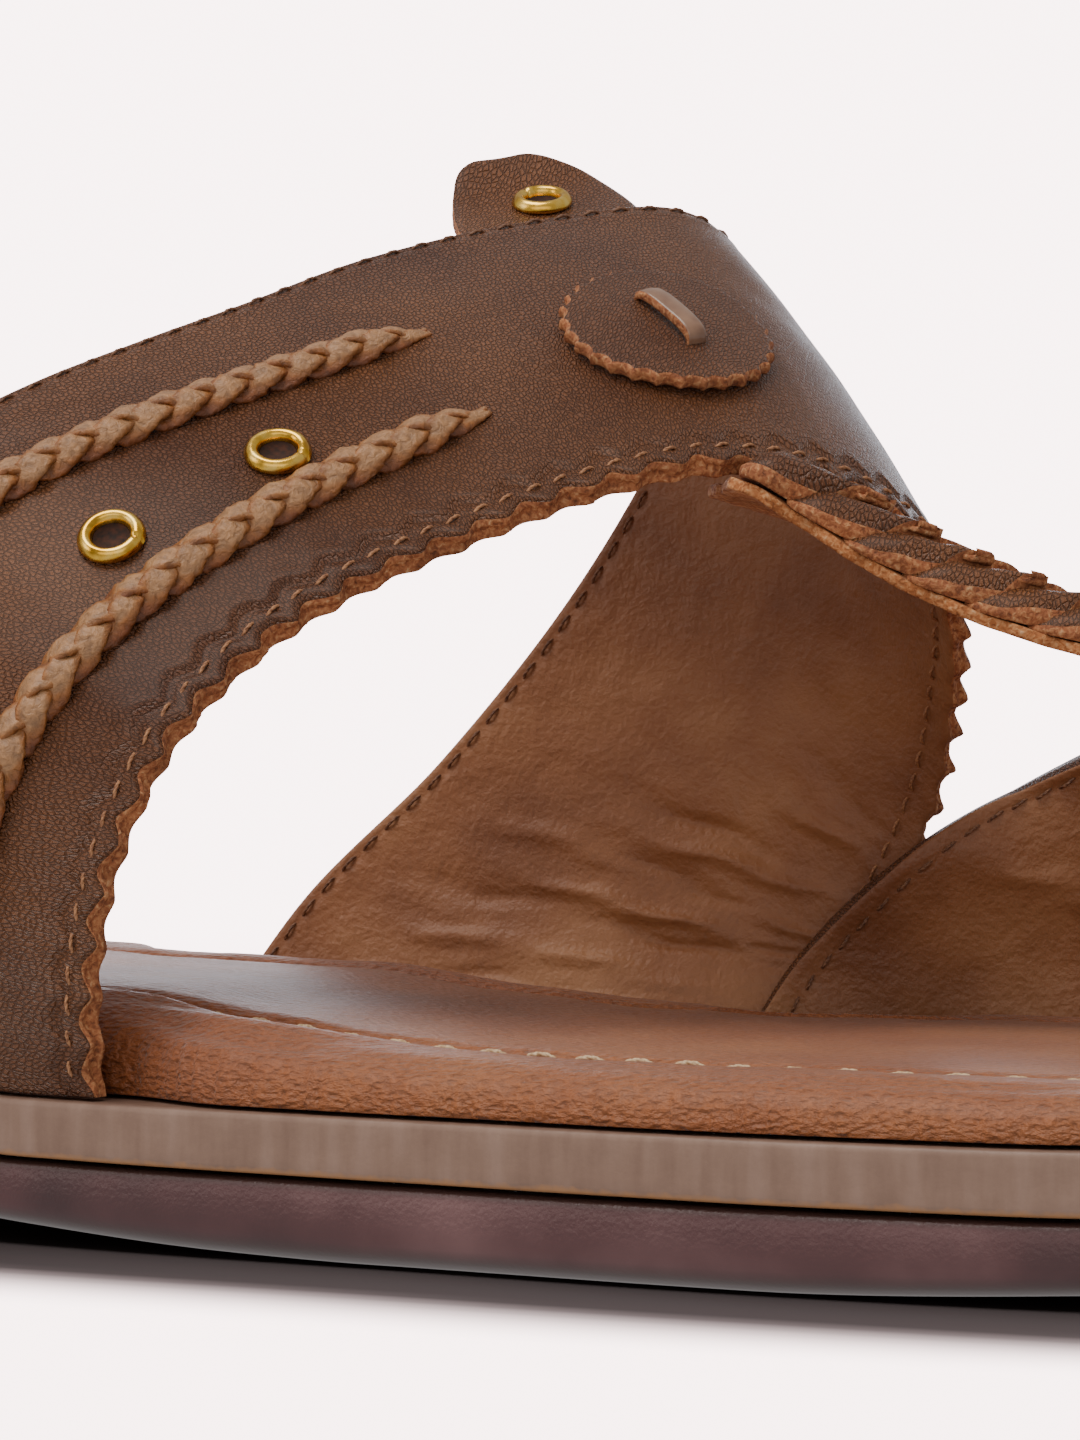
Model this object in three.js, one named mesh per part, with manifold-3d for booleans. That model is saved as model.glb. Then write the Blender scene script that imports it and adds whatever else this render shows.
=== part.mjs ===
// A men's leather toe ring sandal for the right foot, standing empty on its sole.
// Millimetres, +Z up, toe toward +X, inner (medial) side toward +Y, floor at Z = 0.
// The tables measure x from the heel end and y from the line of the last, inner side positive.
import * as THREE from 'three';
import Module from 'manifold-3d';

const wasm = await Module();
wasm.setup();

// Size of the shoe
const LENGTH = 296;
const TOE_TIP_Y = 14;
const HEEL_MID_Y = -1;
const HEEL_ROUND_X = 40;
const OUTER_BALL_X = 195;
const INNER_BALL_X = 230;
const OUTER_BALL_Y = -47.5;
const INNER_BALL_Y = 56;
const TOE_POWER = 2.3;
const HEEL_POWER = 2.1;

// Layers and walls
const GAP = 0.35;
const MIDSOLE_THICK = 4.7;
const HEEL_BREAST_X = 74;
const STRAP_WALL = 2.2;
const STRAP_INSET = 1.0;
const LAP_CLEAR = 1.0;
const FOOTBED_INSET = 1.2;
const STRAP_TUCK = 3.4;
const LAPPED_TUCK = 6.3;

// Trim
const TOOTH_PITCH = 4.09;
const TOOTH_DEPTH = 1.3;
const STRAP_CROWN = 1.3;
const EYELET_OUTER = 2.9;
const EYELET_HOLE = 1.65;
const CORD_WIDTH = 3.4;
const CORD_RISE = 1.6;
const DISC_RADIUS = 9.5;
const DISC_THICK = 1.2;
const DISC_SCALLOPS = 28;
const SCALLOP_DEPTH = 0.5;
const TAB_THICK = 1.8;
const STRIP_BASE_THICK = 1.1;
const PLAIT_THICK = 1.2;
const PLAIT_PITCH = 5.1;
const PLAIT_RISE = 0.8;

const COLOURS = {
  strap: 0x76543f,
  cognac: 0xa86a3e,
  midsole: 0x6f5646,
  wine: 0x43202a,
  rawEdge: 0xb0683c,
  plait: 0x8a6038,
  brass: 0xc9a13b,
};

// Sole outline between the heel round and the ball: half widths by distance from the heel
const OUTLINE = [
  { x: 40, outer: -35, inner: 33 },
  { x: 80, outer: -36.8, inner: 29.5 },
  { x: 112, outer: -41, inner: 28.4 },
  { x: 140, outer: -44, inner: 31 },
  { x: 162, outer: -45.3, inner: 37 },
  { x: 195, outer: -47.5, inner: 47.5 },
  { x: 230, outer: -47.5, inner: 56 },
];

// Underside of the sole unit: flat heel, raised arch, flat ball
const UNDERSIDE = [
  { x: 0, z: 0 },
  { x: 70, z: 0 },
  { x: 73, z: 0 },
  { x: 79, z: 5.4 },
  { x: 100, z: 4.2 },
  { x: 127, z: 1.5 },
  { x: 148, z: 0.25 },
  { x: 160, z: 0 },
  { x: 192, z: 0 },
  { x: 217, z: 0.9 },
  { x: 250, z: 3.8 },
  { x: 296, z: 9.8 },
];

// Top of the midsole, level at the heel and rising again to the toe
const MIDSOLE_TOP = [
  { x: 0, z: 17.2 },
  { x: 60, z: 17 },
  { x: 100, z: 14.2 },
  { x: 128, z: 11.8 },
  { x: 180, z: 11.3 },
  { x: 212, z: 11.2 },
  { x: 250, z: 13 },
  { x: 296, z: 18.8 },
];

// Height of the padded rim above the midsole
const RIM = [
  { x: 0, rise: 6.4 },
  { x: 60, rise: 6.6 },
  { x: 100, rise: 7.3 },
  { x: 128, rise: 8.5 },
  { x: 142, rise: 6.9 },
  { x: 154, rise: 5.6 },
  { x: 172, rise: 4.7 },
  { x: 213, rise: 4.4 },
  { x: 296, rise: 3.8 },
];

// Footbed from its lower edge inward: distance from its side wall and share of the rim height
const FOOTBED = [
  { inset: 0.5, share: 0 },
  { inset: 0, share: 0.14 },
  { inset: 0.3, share: 0.45 },
  { inset: 1.7, share: 0.8 },
  { inset: 4.2, share: 0.97 },
  { inset: 7.4, share: 1 },
  { inset: 10.6, share: 0.9 },
  { inset: 12.6, share: 0.72 },
  { inset: 14.4, share: 0.93 },
  { inset: 17, share: 0.98 },
  { inset: 22, share: 1 },
];

// Instep strap, outer face, from the outer side of the sole over the instep to the inner side
const STRAP = [
  { rearX: 86, rearY: -37, rearZ: 16, frontX: 135, frontY: -43, frontZ: 12 },
  { rearX: 86.5, rearY: -40, rearZ: 27, frontX: 136, frontY: -44.4, frontZ: 22 },
  { rearX: 90, rearY: -41, rearZ: 40.5, frontX: 137.8, frontY: -43.6, frontZ: 31.5 },
  { rearX: 97, rearY: -38, rearZ: 53.2, frontX: 140.7, frontY: -40, frontZ: 40.3 },
  { rearX: 105.5, rearY: -31, rearZ: 64, frontX: 144.4, frontY: -33.4, frontZ: 47.4 },
  { rearX: 114.5, rearY: -20, rearZ: 72, frontX: 149.7, frontY: -26.9, frontZ: 52.8 },
  { rearX: 123.5, rearY: -6.5, rearZ: 78.6, frontX: 156.8, frontY: -19, frontZ: 57.6 },
  { rearX: 134, rearY: 8, rearZ: 85.6, frontX: 164.5, frontY: -10.8, frontZ: 61.8 },
  { rearX: 145.5, rearY: 20.5, rearZ: 90, frontX: 172.2, frontY: -3, frontZ: 64.2 },
  { rearX: 154.5, rearY: 29.5, rearZ: 91.4, frontX: 179.4, frontY: 7, frontZ: 63 },
  { rearX: 157.5, rearY: 36, rearZ: 87.6, frontX: 184.5, frontY: 17.5, frontZ: 58 },
  { rearX: 154.5, rearY: 39.5, rearZ: 79, frontX: 184.8, frontY: 26, frontZ: 50.8 },
  { rearX: 146.5, rearY: 40.6, rearZ: 66, frontX: 181.8, frontY: 33.5, frontZ: 43.3 },
  { rearX: 137.5, rearY: 39, rearZ: 52.5, frontX: 178.6, frontY: 37.6, frontZ: 35.5 },
  { rearX: 126.5, rearY: 35.4, rearZ: 38.5, frontX: 173.6, frontY: 39.4, frontZ: 27 },
  { rearX: 115, rearY: 30.6, rearZ: 26, frontX: 167.5, frontY: 39, frontZ: 19.5 },
  { rearX: 107, rearY: 27, rearZ: 12, frontX: 162, frontY: 36, frontZ: 12 },
];

// Toe ring, outer face, from the slot between the first two toes over the big toe to the inner side
const TOE_BAND = [
  { rearX: 225, rearY: 16.6, rearZ: 12, frontX: 243, frontY: 16.6, frontZ: 12 },
  { rearX: 224.5, rearY: 15.8, rearZ: 20, frontX: 243, frontY: 15.6, frontZ: 19.5 },
  { rearX: 223, rearY: 16, rearZ: 30, frontX: 243.5, frontY: 16, frontZ: 28 },
  { rearX: 220.5, rearY: 19.2, rearZ: 39.5, frontX: 244, frontY: 20, frontZ: 36.5 },
  { rearX: 215.5, rearY: 26, rearZ: 45.5, frontX: 243, frontY: 27, frontZ: 42.3 },
  { rearX: 207, rearY: 34, rearZ: 46.3, frontX: 239.5, frontY: 36, frontZ: 44.4 },
  { rearX: 196, rearY: 39.2, rearZ: 42.4, frontX: 233.5, frontY: 44, frontZ: 42 },
  { rearX: 184.5, rearY: 39.4, rearZ: 36.8, frontX: 226, frontY: 50.3, frontZ: 36 },
  { rearX: 173.5, rearY: 34.9, rearZ: 29.6, frontX: 218, frontY: 54, frontZ: 28 },
  { rearX: 165, rearY: 33.6, rearZ: 21.3, frontX: 210, frontY: 53.2, frontZ: 19.5 },
  { rearX: 159.5, rearY: 33, rearZ: 12, frontX: 204, frontY: 50, frontZ: 12 },
];

// Laced strip, underside, from inside the strap to the top of the toe ring: rear is its edge toward the big toe
const STRIP = [
  { rearX: 177.5, rearY: 20.7, rearZ: 58, frontX: 167.8, frontY: 5.2, frontZ: 61.7 },
  { rearX: 183.5, rearY: 18.6, rearZ: 54, frontX: 173.8, frontY: -2.9, frontZ: 61.6 },
  { rearX: 188, rearY: 15.8, rearZ: 52.4, frontX: 178.4, frontY: -1.8, frontZ: 58.7 },
  { rearX: 194, rearY: 13.6, rearZ: 50.4, frontX: 186, frontY: -0.6, frontZ: 53.8 },
  { rearX: 200.5, rearY: 13.3, rearZ: 47.9, frontX: 194.5, frontY: 0.9, frontZ: 49.8 },
  { rearX: 207, rearY: 14.8, rearZ: 45.8, frontX: 203.5, frontY: 3, frontZ: 46.8 },
  { rearX: 213.5, rearY: 16.6, rearZ: 44.3, frontX: 212, frontY: 5.6, frontZ: 43.8 },
  { rearX: 219.8, rearY: 19.4, rearZ: 45.2, frontX: 218.6, frontY: 9.2, frontZ: 42 },
  { rearX: 225.6, rearY: 22.2, rearZ: 45.6, frontX: 226, frontY: 13, frontZ: 38.6 },
  { rearX: 230.2, rearY: 24.1, rearZ: 44.8, frontX: 232.9, frontY: 16.1, frontZ: 35.4 },
];

// Plaited cords on the strap: row of the strap and share of its width from the rear edge
const CORD_OUTER_UPPER = [
  { row: 6.82, across: 0.378 },
  { row: 5.5, across: 0.33 },
  { row: 4.2, across: 0.289 },
  { row: 2.6, across: 0.27 },
  { row: 0.9, across: 0.27 },
];
const CORD_OUTER_LOWER = [
  { row: 6.73, across: 0.694 },
  { row: 5.6, across: 0.715 },
  { row: 4.4, across: 0.737 },
  { row: 2.6, across: 0.735 },
  { row: 0.9, across: 0.75 },
];
const CORD_INNER_UPPER = [
  { row: 11.1, across: 0.37 },
  { row: 12.2, across: 0.32 },
  { row: 13.3, across: 0.29 },
  { row: 14.3, across: 0.28 },
  { row: 15.2, across: 0.28 },
];
const CORD_INNER_LOWER = [
  { row: 11.1, across: 0.69 },
  { row: 12.2, across: 0.72 },
  { row: 13.3, across: 0.735 },
  { row: 14.3, across: 0.74 },
  { row: 15.2, across: 0.75 },
];

// Rear tab about its eyelet: distance forward, the two sides, and how far its free end bends up
const TAB = [
  { run: -8.5, left: -3.9, right: 0.6, rise: 2.5 },
  { run: -8.1, left: -5.1, right: 2, rise: 2.3 },
  { run: -7.3, left: -6.1, right: 3.6, rise: 1.9 },
  { run: -6, left: -6.9, right: 5.4, rise: 1.2 },
  { run: -3.6, left: -7.8, right: 7.2, rise: 0.3 },
  { run: 0.3, left: -8.8, right: 8.8, rise: 0 },
  { run: 4.5, left: -9.4, right: 9.6, rise: 0 },
  { run: 9.5, left: -9.7, right: 10, rise: 0 },
  { run: 14.5, left: -9.8, right: 10.2, rise: 0 },
];

// Places of the small fittings, in the same two measures
const DISC_PLACE = { row: 8.15, across: 0.574 };
const TAB_PLACE = { row: 8.14, across: -0.193 };
const STRAP_EYELETS = [
  { name: 'eyelet_outer_1', row: 4.25, across: 0.574 },
  { name: 'eyelet_outer_2', row: 5.49, across: 0.58 },
  { name: 'eyelet_inner_1', row: 12.1, across: 0.57 },
  { name: 'eyelet_inner_2', row: 13.1, across: 0.57 },
];

const curveValue = (a, b, c, d, f) =>
  0.5 * (2 * b + (c - a) * f + (2 * a - 5 * b + 4 * c - d) * f * f + (3 * b - a - 3 * c + d) * f * f * f);

// Value of one column at a row position such as 3.4, on a curve through the rows
function alongRows(table, column, position) {
  const last = table.length - 1;
  const index = Math.min(Math.floor(position), last - 1);
  const row = (i) => table[Math.max(0, Math.min(last, i))][column];
  const before = index === 0 ? 2 * row(0) - row(1) : row(index - 1);
  const after = index === last - 1 ? 2 * row(last) - row(last - 1) : row(index + 2);
  return curveValue(before, row(index), row(index + 1), after, position - index);
}

// Value of one column at a distance x, never past the values of the rows on either side
function atX(table, column, x) {
  const last = table.length - 1;
  if (x <= table[0].x) return table[0][column];
  if (x >= table[last].x) return table[last][column];
  let index = 0;
  while (table[index + 1].x < x) index += 1;
  const slope = (i) => (table[i + 1][column] - table[i][column]) / (table[i + 1].x - table[i].x);
  const tangent = (i) => {
    if (i === 0 || i === last) return 0;
    const back = slope(i - 1);
    const ahead = slope(i);
    return back * ahead <= 0 ? 0 : (2 * back * ahead) / (back + ahead);
  };
  const width = table[index + 1].x - table[index].x;
  const f = (x - table[index].x) / width;
  const low = table[index][column];
  const high = table[index + 1][column];
  return (1 + 2 * f) * (1 - f) ** 2 * low + f * (1 - f) ** 2 * width * tangent(index)
    + f * f * (3 - 2 * f) * high + f * f * (f - 1) * width * tangent(index + 1);
}

const smoothStep = (from, to, x) => {
  const f = Math.max(0, Math.min(1, (x - from) / (to - from)));
  return f * f * (3 - 2 * f);
};

// Outer or inner edge of the sole at a distance x
function edgeY(x, side) {
  if (x < HEEL_ROUND_X) {
    const share = Math.sqrt(Math.max(0, 1 - ((HEEL_ROUND_X - x) / HEEL_ROUND_X) ** HEEL_POWER));
    return HEEL_MID_Y + (OUTLINE[0][side] - HEEL_MID_Y) * share;
  }
  const ballX = side === 'outer' ? OUTER_BALL_X : INNER_BALL_X;
  const ballY = side === 'outer' ? OUTER_BALL_Y : INNER_BALL_Y;
  if (x > ballX) {
    const share = Math.sqrt(Math.max(0, 1 - ((x - ballX) / (LENGTH - ballX)) ** TOE_POWER));
    return TOE_TIP_Y + (ballY - TOE_TIP_Y) * share;
  }
  return atX(OUTLINE, side, x);
}

const topAt = (x) => atX(MIDSOLE_TOP, 'z', x);
const undersideAt = (x) => atX(UNDERSIDE, 'z', x);

// Stations from heel to toe, close together at both ends and at the heel breast
function soleStations() {
  const steps = 30;
  const stations = Array.from({ length: steps + 1 }, (_, i) => (LENGTH / 2) * (1 - Math.cos((Math.PI * i) / steps)));
  stations.push(HEEL_BREAST_X - 1.2, HEEL_BREAST_X + 5.2);
  return stations.sort((a, b) => a - b);
}

// The sole's edge as one loop, along the outer side to the toe and back, with outward directions
function soleLoop() {
  const stations = soleStations();
  const last = stations.length - 1;
  const loop = stations.map((x) => ({ x, y: edgeY(x, 'outer') }));
  for (let i = last - 1; i > 0; i -= 1) loop.push({ x: stations[i], y: edgeY(stations[i], 'inner') });
  const count = loop.length;
  return loop.map((point, i) => {
    const back = loop[(i + count - 1) % count];
    const ahead = loop[(i + 1) % count];
    const run = Math.hypot(ahead.x - back.x, ahead.y - back.y);
    return { ...point, outX: (ahead.y - back.y) / run, outY: -(ahead.x - back.x) / run };
  });
}

const LOOP = soleLoop();
const HALF_LOOP = LOOP.length / 2;

function meshOf(name, vertices, triangles, colour, roughness, metalness = 0) {
  const geometry = new THREE.BufferGeometry();
  geometry.setAttribute('position', new THREE.Float32BufferAttribute(vertices.flat(), 3));
  geometry.setIndex(triangles.flat());
  geometry.computeVertexNormals();
  const material = new THREE.MeshStandardMaterial({ color: colour, roughness, metalness });
  const mesh = new THREE.Mesh(geometry, material);
  mesh.name = name;
  return mesh;
}

// A layer of the sole: rings from the bottom up, each given by its inset and height at every loop point
function soleLayer(rings) {
  const count = LOOP.length;
  const vertices = rings.flatMap((ring) => LOOP.map((point) => {
    const inset = ring.inset(point);
    return [point.x - point.outX * inset, point.y - point.outY * inset, ring.height(point)];
  }));
  const triangles = [];
  for (let level = 0; level < rings.length - 1; level += 1) {
    for (let i = 0; i < count; i += 1) {
      const a = level * count + i;
      const b = level * count + ((i + 1) % count);
      triangles.push([a, b, b + count], [a, b + count, a + count]);
    }
  }
  const top = (rings.length - 1) * count;
  for (let i = 0; i < HALF_LOOP; i += 1) {
    const corners = [i, i + 1, (count - i - 1) % count, (count - i) % count];
    const [a, b, c, d] = corners;
    if (b !== c) triangles.push([top + a, top + b, top + c], [a, c, b]);
    if (d !== a) triangles.push([top + a, top + c, top + d], [a, d, c]);
  }
  return { vertices, triangles };
}

const fixed = (value) => () => value;

function makeOutsole() {
  const top = (point) => topAt(point.x) - MIDSOLE_THICK - GAP;
  const bottom = (point) => undersideAt(point.x);
  const between = (share) => (point) => bottom(point) + share * (top(point) - bottom(point));
  const above = (rise) => (point) => bottom(point) + rise;
  const { vertices, triangles } = soleLayer([
    { inset: fixed(2.2), height: bottom },
    { inset: fixed(0.8), height: above(0.5) },
    { inset: fixed(0.15), height: above(1.5) },
    { inset: fixed(0), height: between(0.5) },
    { inset: fixed(0.35), height: between(0.56) },
    { inset: fixed(0.35), height: top },
  ]);
  return meshOf('outsole', vertices, triangles, COLOURS.wine, 0.45);
}

function makeMidsole() {
  const top = (point) => topAt(point.x);
  const { vertices, triangles } = soleLayer([
    { inset: fixed(0.3), height: (point) => top(point) - MIDSOLE_THICK },
    { inset: fixed(0.05), height: (point) => top(point) - MIDSOLE_THICK + 0.5 },
    { inset: fixed(0.1), height: (point) => top(point) - 0.4 },
    { inset: fixed(0.4), height: top },
  ]);
  return meshOf('midsole', vertices, triangles, COLOURS.midsole, 0.7);
}

// The footbed's side wall is drawn in where a strap, or one strap lapped over another, comes down beside it
function tuckAt(point) {
  const along = (from, to) => smoothStep(from - 7, from - 2, point.x) * (1 - smoothStep(to + 1, to + 6, point.x));
  if (point.outY < 0) return STRAP_TUCK * along(86, 135.5);
  return Math.max(STRAP_TUCK * along(107, 205), LAPPED_TUCK * along(160, 176));
}

// A closed mesh as a solid that can be cut
function solidOf({ vertices, triangles }) {
  return new wasm.Manifold(new wasm.Mesh({
    numProp: 3,
    vertProperties: new Float32Array(vertices.flat()),
    triVerts: new Uint32Array(triangles.flat()),
  }));
}

// Upright box as four corners below and four above
function uprightBox(x0, x1, y0, y1, z0, z1) {
  const corners = [[x0, y0], [x1, y0], [x1, y1], [x0, y1]];
  const vertices = [...corners.map(([x, y]) => [x, y, z0]), ...corners.map(([x, y]) => [x, y, z1])];
  const triangles = [[0, 2, 1], [0, 3, 2], [4, 5, 6], [4, 6, 7]];
  for (let i = 0; i < 4; i += 1) {
    const next = (i + 1) % 4;
    triangles.push([i, next, next + 4], [i, next + 4, i + 4]);
  }
  return { vertices, triangles };
}

// The padded footbed, with the slot that the toe ring goes down through
function makeInsole() {
  const floor = (point) => topAt(point.x) + GAP;
  const pad = soleLayer(FOOTBED.map((row) => ({
    inset: (point) => FOOTBED_INSET + tuckAt(point) * (1 - smoothStep(4, 14, row.inset)) + row.inset,
    height: (point) => floor(point) + row.share * (atX(RIM, 'rise', point.x) - GAP),
  })));
  const slot = uprightBox(223.3, 244.7, 15.1, 20, 0, 40);
  const cut = solidOf(pad).subtract(solidOf(slot)).getMesh();
  const vertices = [];
  for (let i = 0; i < cut.vertProperties.length; i += cut.numProp) {
    vertices.push([cut.vertProperties[i], cut.vertProperties[i + 1], cut.vertProperties[i + 2]]);
  }
  return meshOf('insole', vertices, [Array.from(cut.triVerts)], COLOURS.cognac, 0.5);
}

// A band of leather between its rear and front edge curves, arched a little between them.
// A place on it is a row position and a share across from the rear edge.
class Band {
  constructor(table, crown, seats) {
    this.table = table;
    this.crown = crown;
    this.seats = seats;
    this.rows = table.length - 1;
  }

  edge(position, which) {
    return new THREE.Vector3(
      alongRows(this.table, `${which}X`, position),
      alongRows(this.table, `${which}Y`, position),
      alongRows(this.table, `${which}Z`, position),
    );
  }

  ruled(position, across) {
    return this.edge(position, 'rear').lerp(this.edge(position, 'front'), across);
  }

  // Point of the outer face; the ends are seated on the midsole and follow its edge
  face(position, across) {
    const step = 0.05;
    const point = this.ruled(position, across);
    const along = this.ruled(Math.min(position + step, this.rows), across);
    along.sub(this.ruled(Math.max(position - step, 0), across));
    const over = this.edge(position, 'front').sub(this.edge(position, 'rear'));
    const out = over.cross(along).normalize();
    const seats = this.seats.map((seat) => ({
      ...seat,
      near: Math.max(0, 1 - Math.abs(position - seat.row) / 1.4) ** 2,
    }));
    const free = 1 - seats.reduce((sum, seat) => sum + seat.near, 0);
    point.addScaledVector(out, this.crown * 4 * across * (1 - across) * free);
    seats.filter((seat) => seat.near > 0).forEach((seat) => {
      const base = this.ruled(seat.row, across);
      if (seat.side) {
        const inset = Math.sign(base.y) * seat.inset(across);
        point.y += seat.near * (edgeY(base.x, seat.side) - inset - base.y);
      }
      point.z += seat.near * (topAt(base.x) + GAP - base.z);
    });
    return point;
  }

  outward(position, across) {
    const step = 0.04;
    const along = this.face(Math.min(position + step, this.rows), across);
    along.sub(this.face(Math.max(position - step, 0), across));
    const over = this.face(position, across + step).sub(this.face(position, across - step));
    return over.cross(along).normalize();
  }

  lifted(position, across, lift) {
    return this.face(position, across).addScaledVector(this.outward(position, across), lift);
  }

  // Lengths along the front edge at even row positions
  frontLengths(fine) {
    const lengths = [0];
    let previous = this.edge(0, 'front');
    for (let i = 1; i <= fine; i += 1) {
      const next = this.edge((this.rows * i) / fine, 'front');
      lengths.push(lengths[i - 1] + next.distanceTo(previous));
      previous = next;
    }
    return lengths;
  }

  // Row positions that divide the front edge into equal lengths
  evenPositions(pieces) {
    const fine = 600;
    const lengths = this.frontLengths(fine);
    let i = 0;
    return Array.from({ length: pieces + 1 }, (_, piece) => {
      const goal = (lengths[fine] * piece) / pieces;
      while (i < fine - 1 && lengths[i + 1] < goal) i += 1;
      const share = Math.min(1, (goal - lengths[i]) / (lengths[i + 1] - lengths[i]));
      return (this.rows * (i + share)) / fine;
    });
  }

  // The place reached from another by going forward and sideways over the face
  walk(place, forward, sideways) {
    const centre = this.face(place.row, place.across);
    const out = this.outward(place.row, place.across);
    const ahead = this.face(place.row, place.across + 0.02).sub(this.face(place.row, place.across - 0.02)).normalize();
    const aside = out.clone().cross(ahead).normalize();
    let { row, across } = place;
    for (let turn = 0; turn < 6; turn += 1) {
      const here = this.face(row, across).sub(centre);
      const missForward = forward - here.dot(ahead);
      const missSideways = sideways - here.dot(aside);
      const alongRow = this.face(row + 0.02, across).sub(this.face(row - 0.02, across)).divideScalar(0.04);
      const alongAcross = this.face(row, across + 0.01).sub(this.face(row, across - 0.01)).divideScalar(0.02);
      const a = alongRow.dot(ahead);
      const b = alongAcross.dot(ahead);
      const c = alongRow.dot(aside);
      const d = alongAcross.dot(aside);
      const size = a * d - b * c;
      row += (d * missForward - b * missSideways) / size;
      across += (a * missSideways - c * missForward) / size;
    }
    return { row, across };
  }
}

// A closed wall between an outer and an inner grid of points
function wallBetween(outer, inner) {
  const rows = outer.length;
  const columns = outer[0].length;
  const vertices = [...outer.flat(), ...inner.flat()].map((point) => point.toArray());
  const half = rows * columns;
  const at = (i, j) => i * columns + j;
  const triangles = [];
  const quad = (a, b, c, d) => triangles.push([a, b, c], [a, c, d]);
  const lastRow = rows - 1;
  const lastColumn = columns - 1;
  for (let i = 0; i < lastRow; i += 1) {
    for (let j = 0; j < lastColumn; j += 1) {
      quad(at(i, j), at(i, j + 1), at(i + 1, j + 1), at(i + 1, j));
      quad(half + at(i, j), half + at(i + 1, j), half + at(i + 1, j + 1), half + at(i, j + 1));
    }
    quad(at(i, 0), at(i + 1, 0), half + at(i + 1, 0), half + at(i, 0));
    quad(at(i, lastColumn), half + at(i, lastColumn), half + at(i + 1, lastColumn), at(i + 1, lastColumn));
  }
  for (let j = 0; j < lastColumn; j += 1) {
    quad(at(0, j), half + at(0, j), half + at(0, j + 1), at(0, j + 1));
    quad(at(lastRow, j), at(lastRow, j + 1), half + at(lastRow, j + 1), half + at(lastRow, j));
  }
  return { vertices, triangles };
}

// Wall of a band, its thickness inward, with the foot of each seated end level on the sole
function bandWall(band, positions, acrossSteps, frontCut) {
  const outer = positions.map((position, i) => acrossSteps.map((across) => {
    const back = band.edge(position, 'rear').sub(band.edge(position, 'front')).normalize();
    return band.face(position, across).addScaledVector(back, across === 1 ? frontCut(i) : 0);
  }));
  const inner = positions.map((position, i) => acrossSteps.map((across, j) => {
    const point = outer[i][j].clone().addScaledVector(band.outward(position, across), -STRAP_WALL);
    if (band.seats.some((seat) => seat.row === position)) point.z = outer[i][j].z;
    return point;
  }));
  return wallBetween(outer, inner);
}

// The upper: one lined leather strap with a pinked front edge
const strap = new Band(STRAP, STRAP_CROWN, [
  { row: 0, side: 'outer', inset: fixed(STRAP_INSET) },
  { row: STRAP.length - 1, side: 'inner', inset: fixed(STRAP_INSET) },
]);

function makeStrap() {
  const perTooth = 3;
  const bite = [0, 0.9, 0.9];
  const teeth = Math.round(strap.frontLengths(200)[200] / TOOTH_PITCH);
  const positions = strap.evenPositions(teeth * perTooth);
  const { vertices, triangles } = bandWall(strap, positions, [0, 0.2, 0.42, 0.64, 0.84, 0.95, 1],
    (i) => TOOTH_DEPTH * bite[i % perTooth]);
  return meshOf('instep_strap', vertices, triangles, COLOURS.strap, 0.5);
}

// The toe ring: its rear corner is lapped inside the strap's front corner at the inner side
const toeBand = new Band(TOE_BAND, 0.8, [
  { row: 0, side: null },
  {
    row: TOE_BAND.length - 1,
    side: 'inner',
    inset: (across) => STRAP_INSET + (STRAP_WALL + LAP_CLEAR) * (1 - smoothStep(0.08, 0.4, across)),
  },
]);

function makeToeBand() {
  const { vertices, triangles } = bandWall(toeBand, toeBand.evenPositions(34), [0, 0.3, 0.7, 1], fixed(0));
  return meshOf('toe_ring_band', vertices, triangles, COLOURS.strap, 0.5);
}

// The laced strip: a raw-edged base and, on it, folded thongs as raised scales in two columns
const strip = new Band(STRIP, 0, []);

function stripSolid(name, positions, low, high, colour) {
  const acrossSteps = [0, 0.2, 0.46, 0.54, 0.8, 1];
  const grid = (lift) => positions.map((position, i) => acrossSteps.map((across) =>
    strip.lifted(position, across, lift(i, across))));
  const { vertices, triangles } = wallBetween(grid(high), grid(low));
  return meshOf(name, vertices, triangles, colour, 0.6);
}

function makeStrip() {
  const lengths = strip.frontLengths(100);
  const scales = Math.round(lengths[100] / PLAIT_PITCH);
  const even = strip.evenPositions(scales * 2);
  const plaitStart = 1.2;
  const plaitPositions = even.filter((position) => position > plaitStart);
  const scaleHeight = (i, across) => {
    const fromMiddle = Math.abs(across - 0.5) * 2;
    const ramp = i % 2 === 0 ? 1 : 0.3;
    return STRIP_BASE_THICK + GAP + PLAIT_THICK + PLAIT_RISE * (1 - 0.75 * fromMiddle ** 2) * ramp;
  };
  return [
    stripSolid('strip_base', even, fixed(0), fixed(STRIP_BASE_THICK), COLOURS.rawEdge),
    stripSolid('strip_plait', plaitPositions, fixed(STRIP_BASE_THICK + GAP), scaleHeight, COLOURS.strap),
  ];
}

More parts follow.
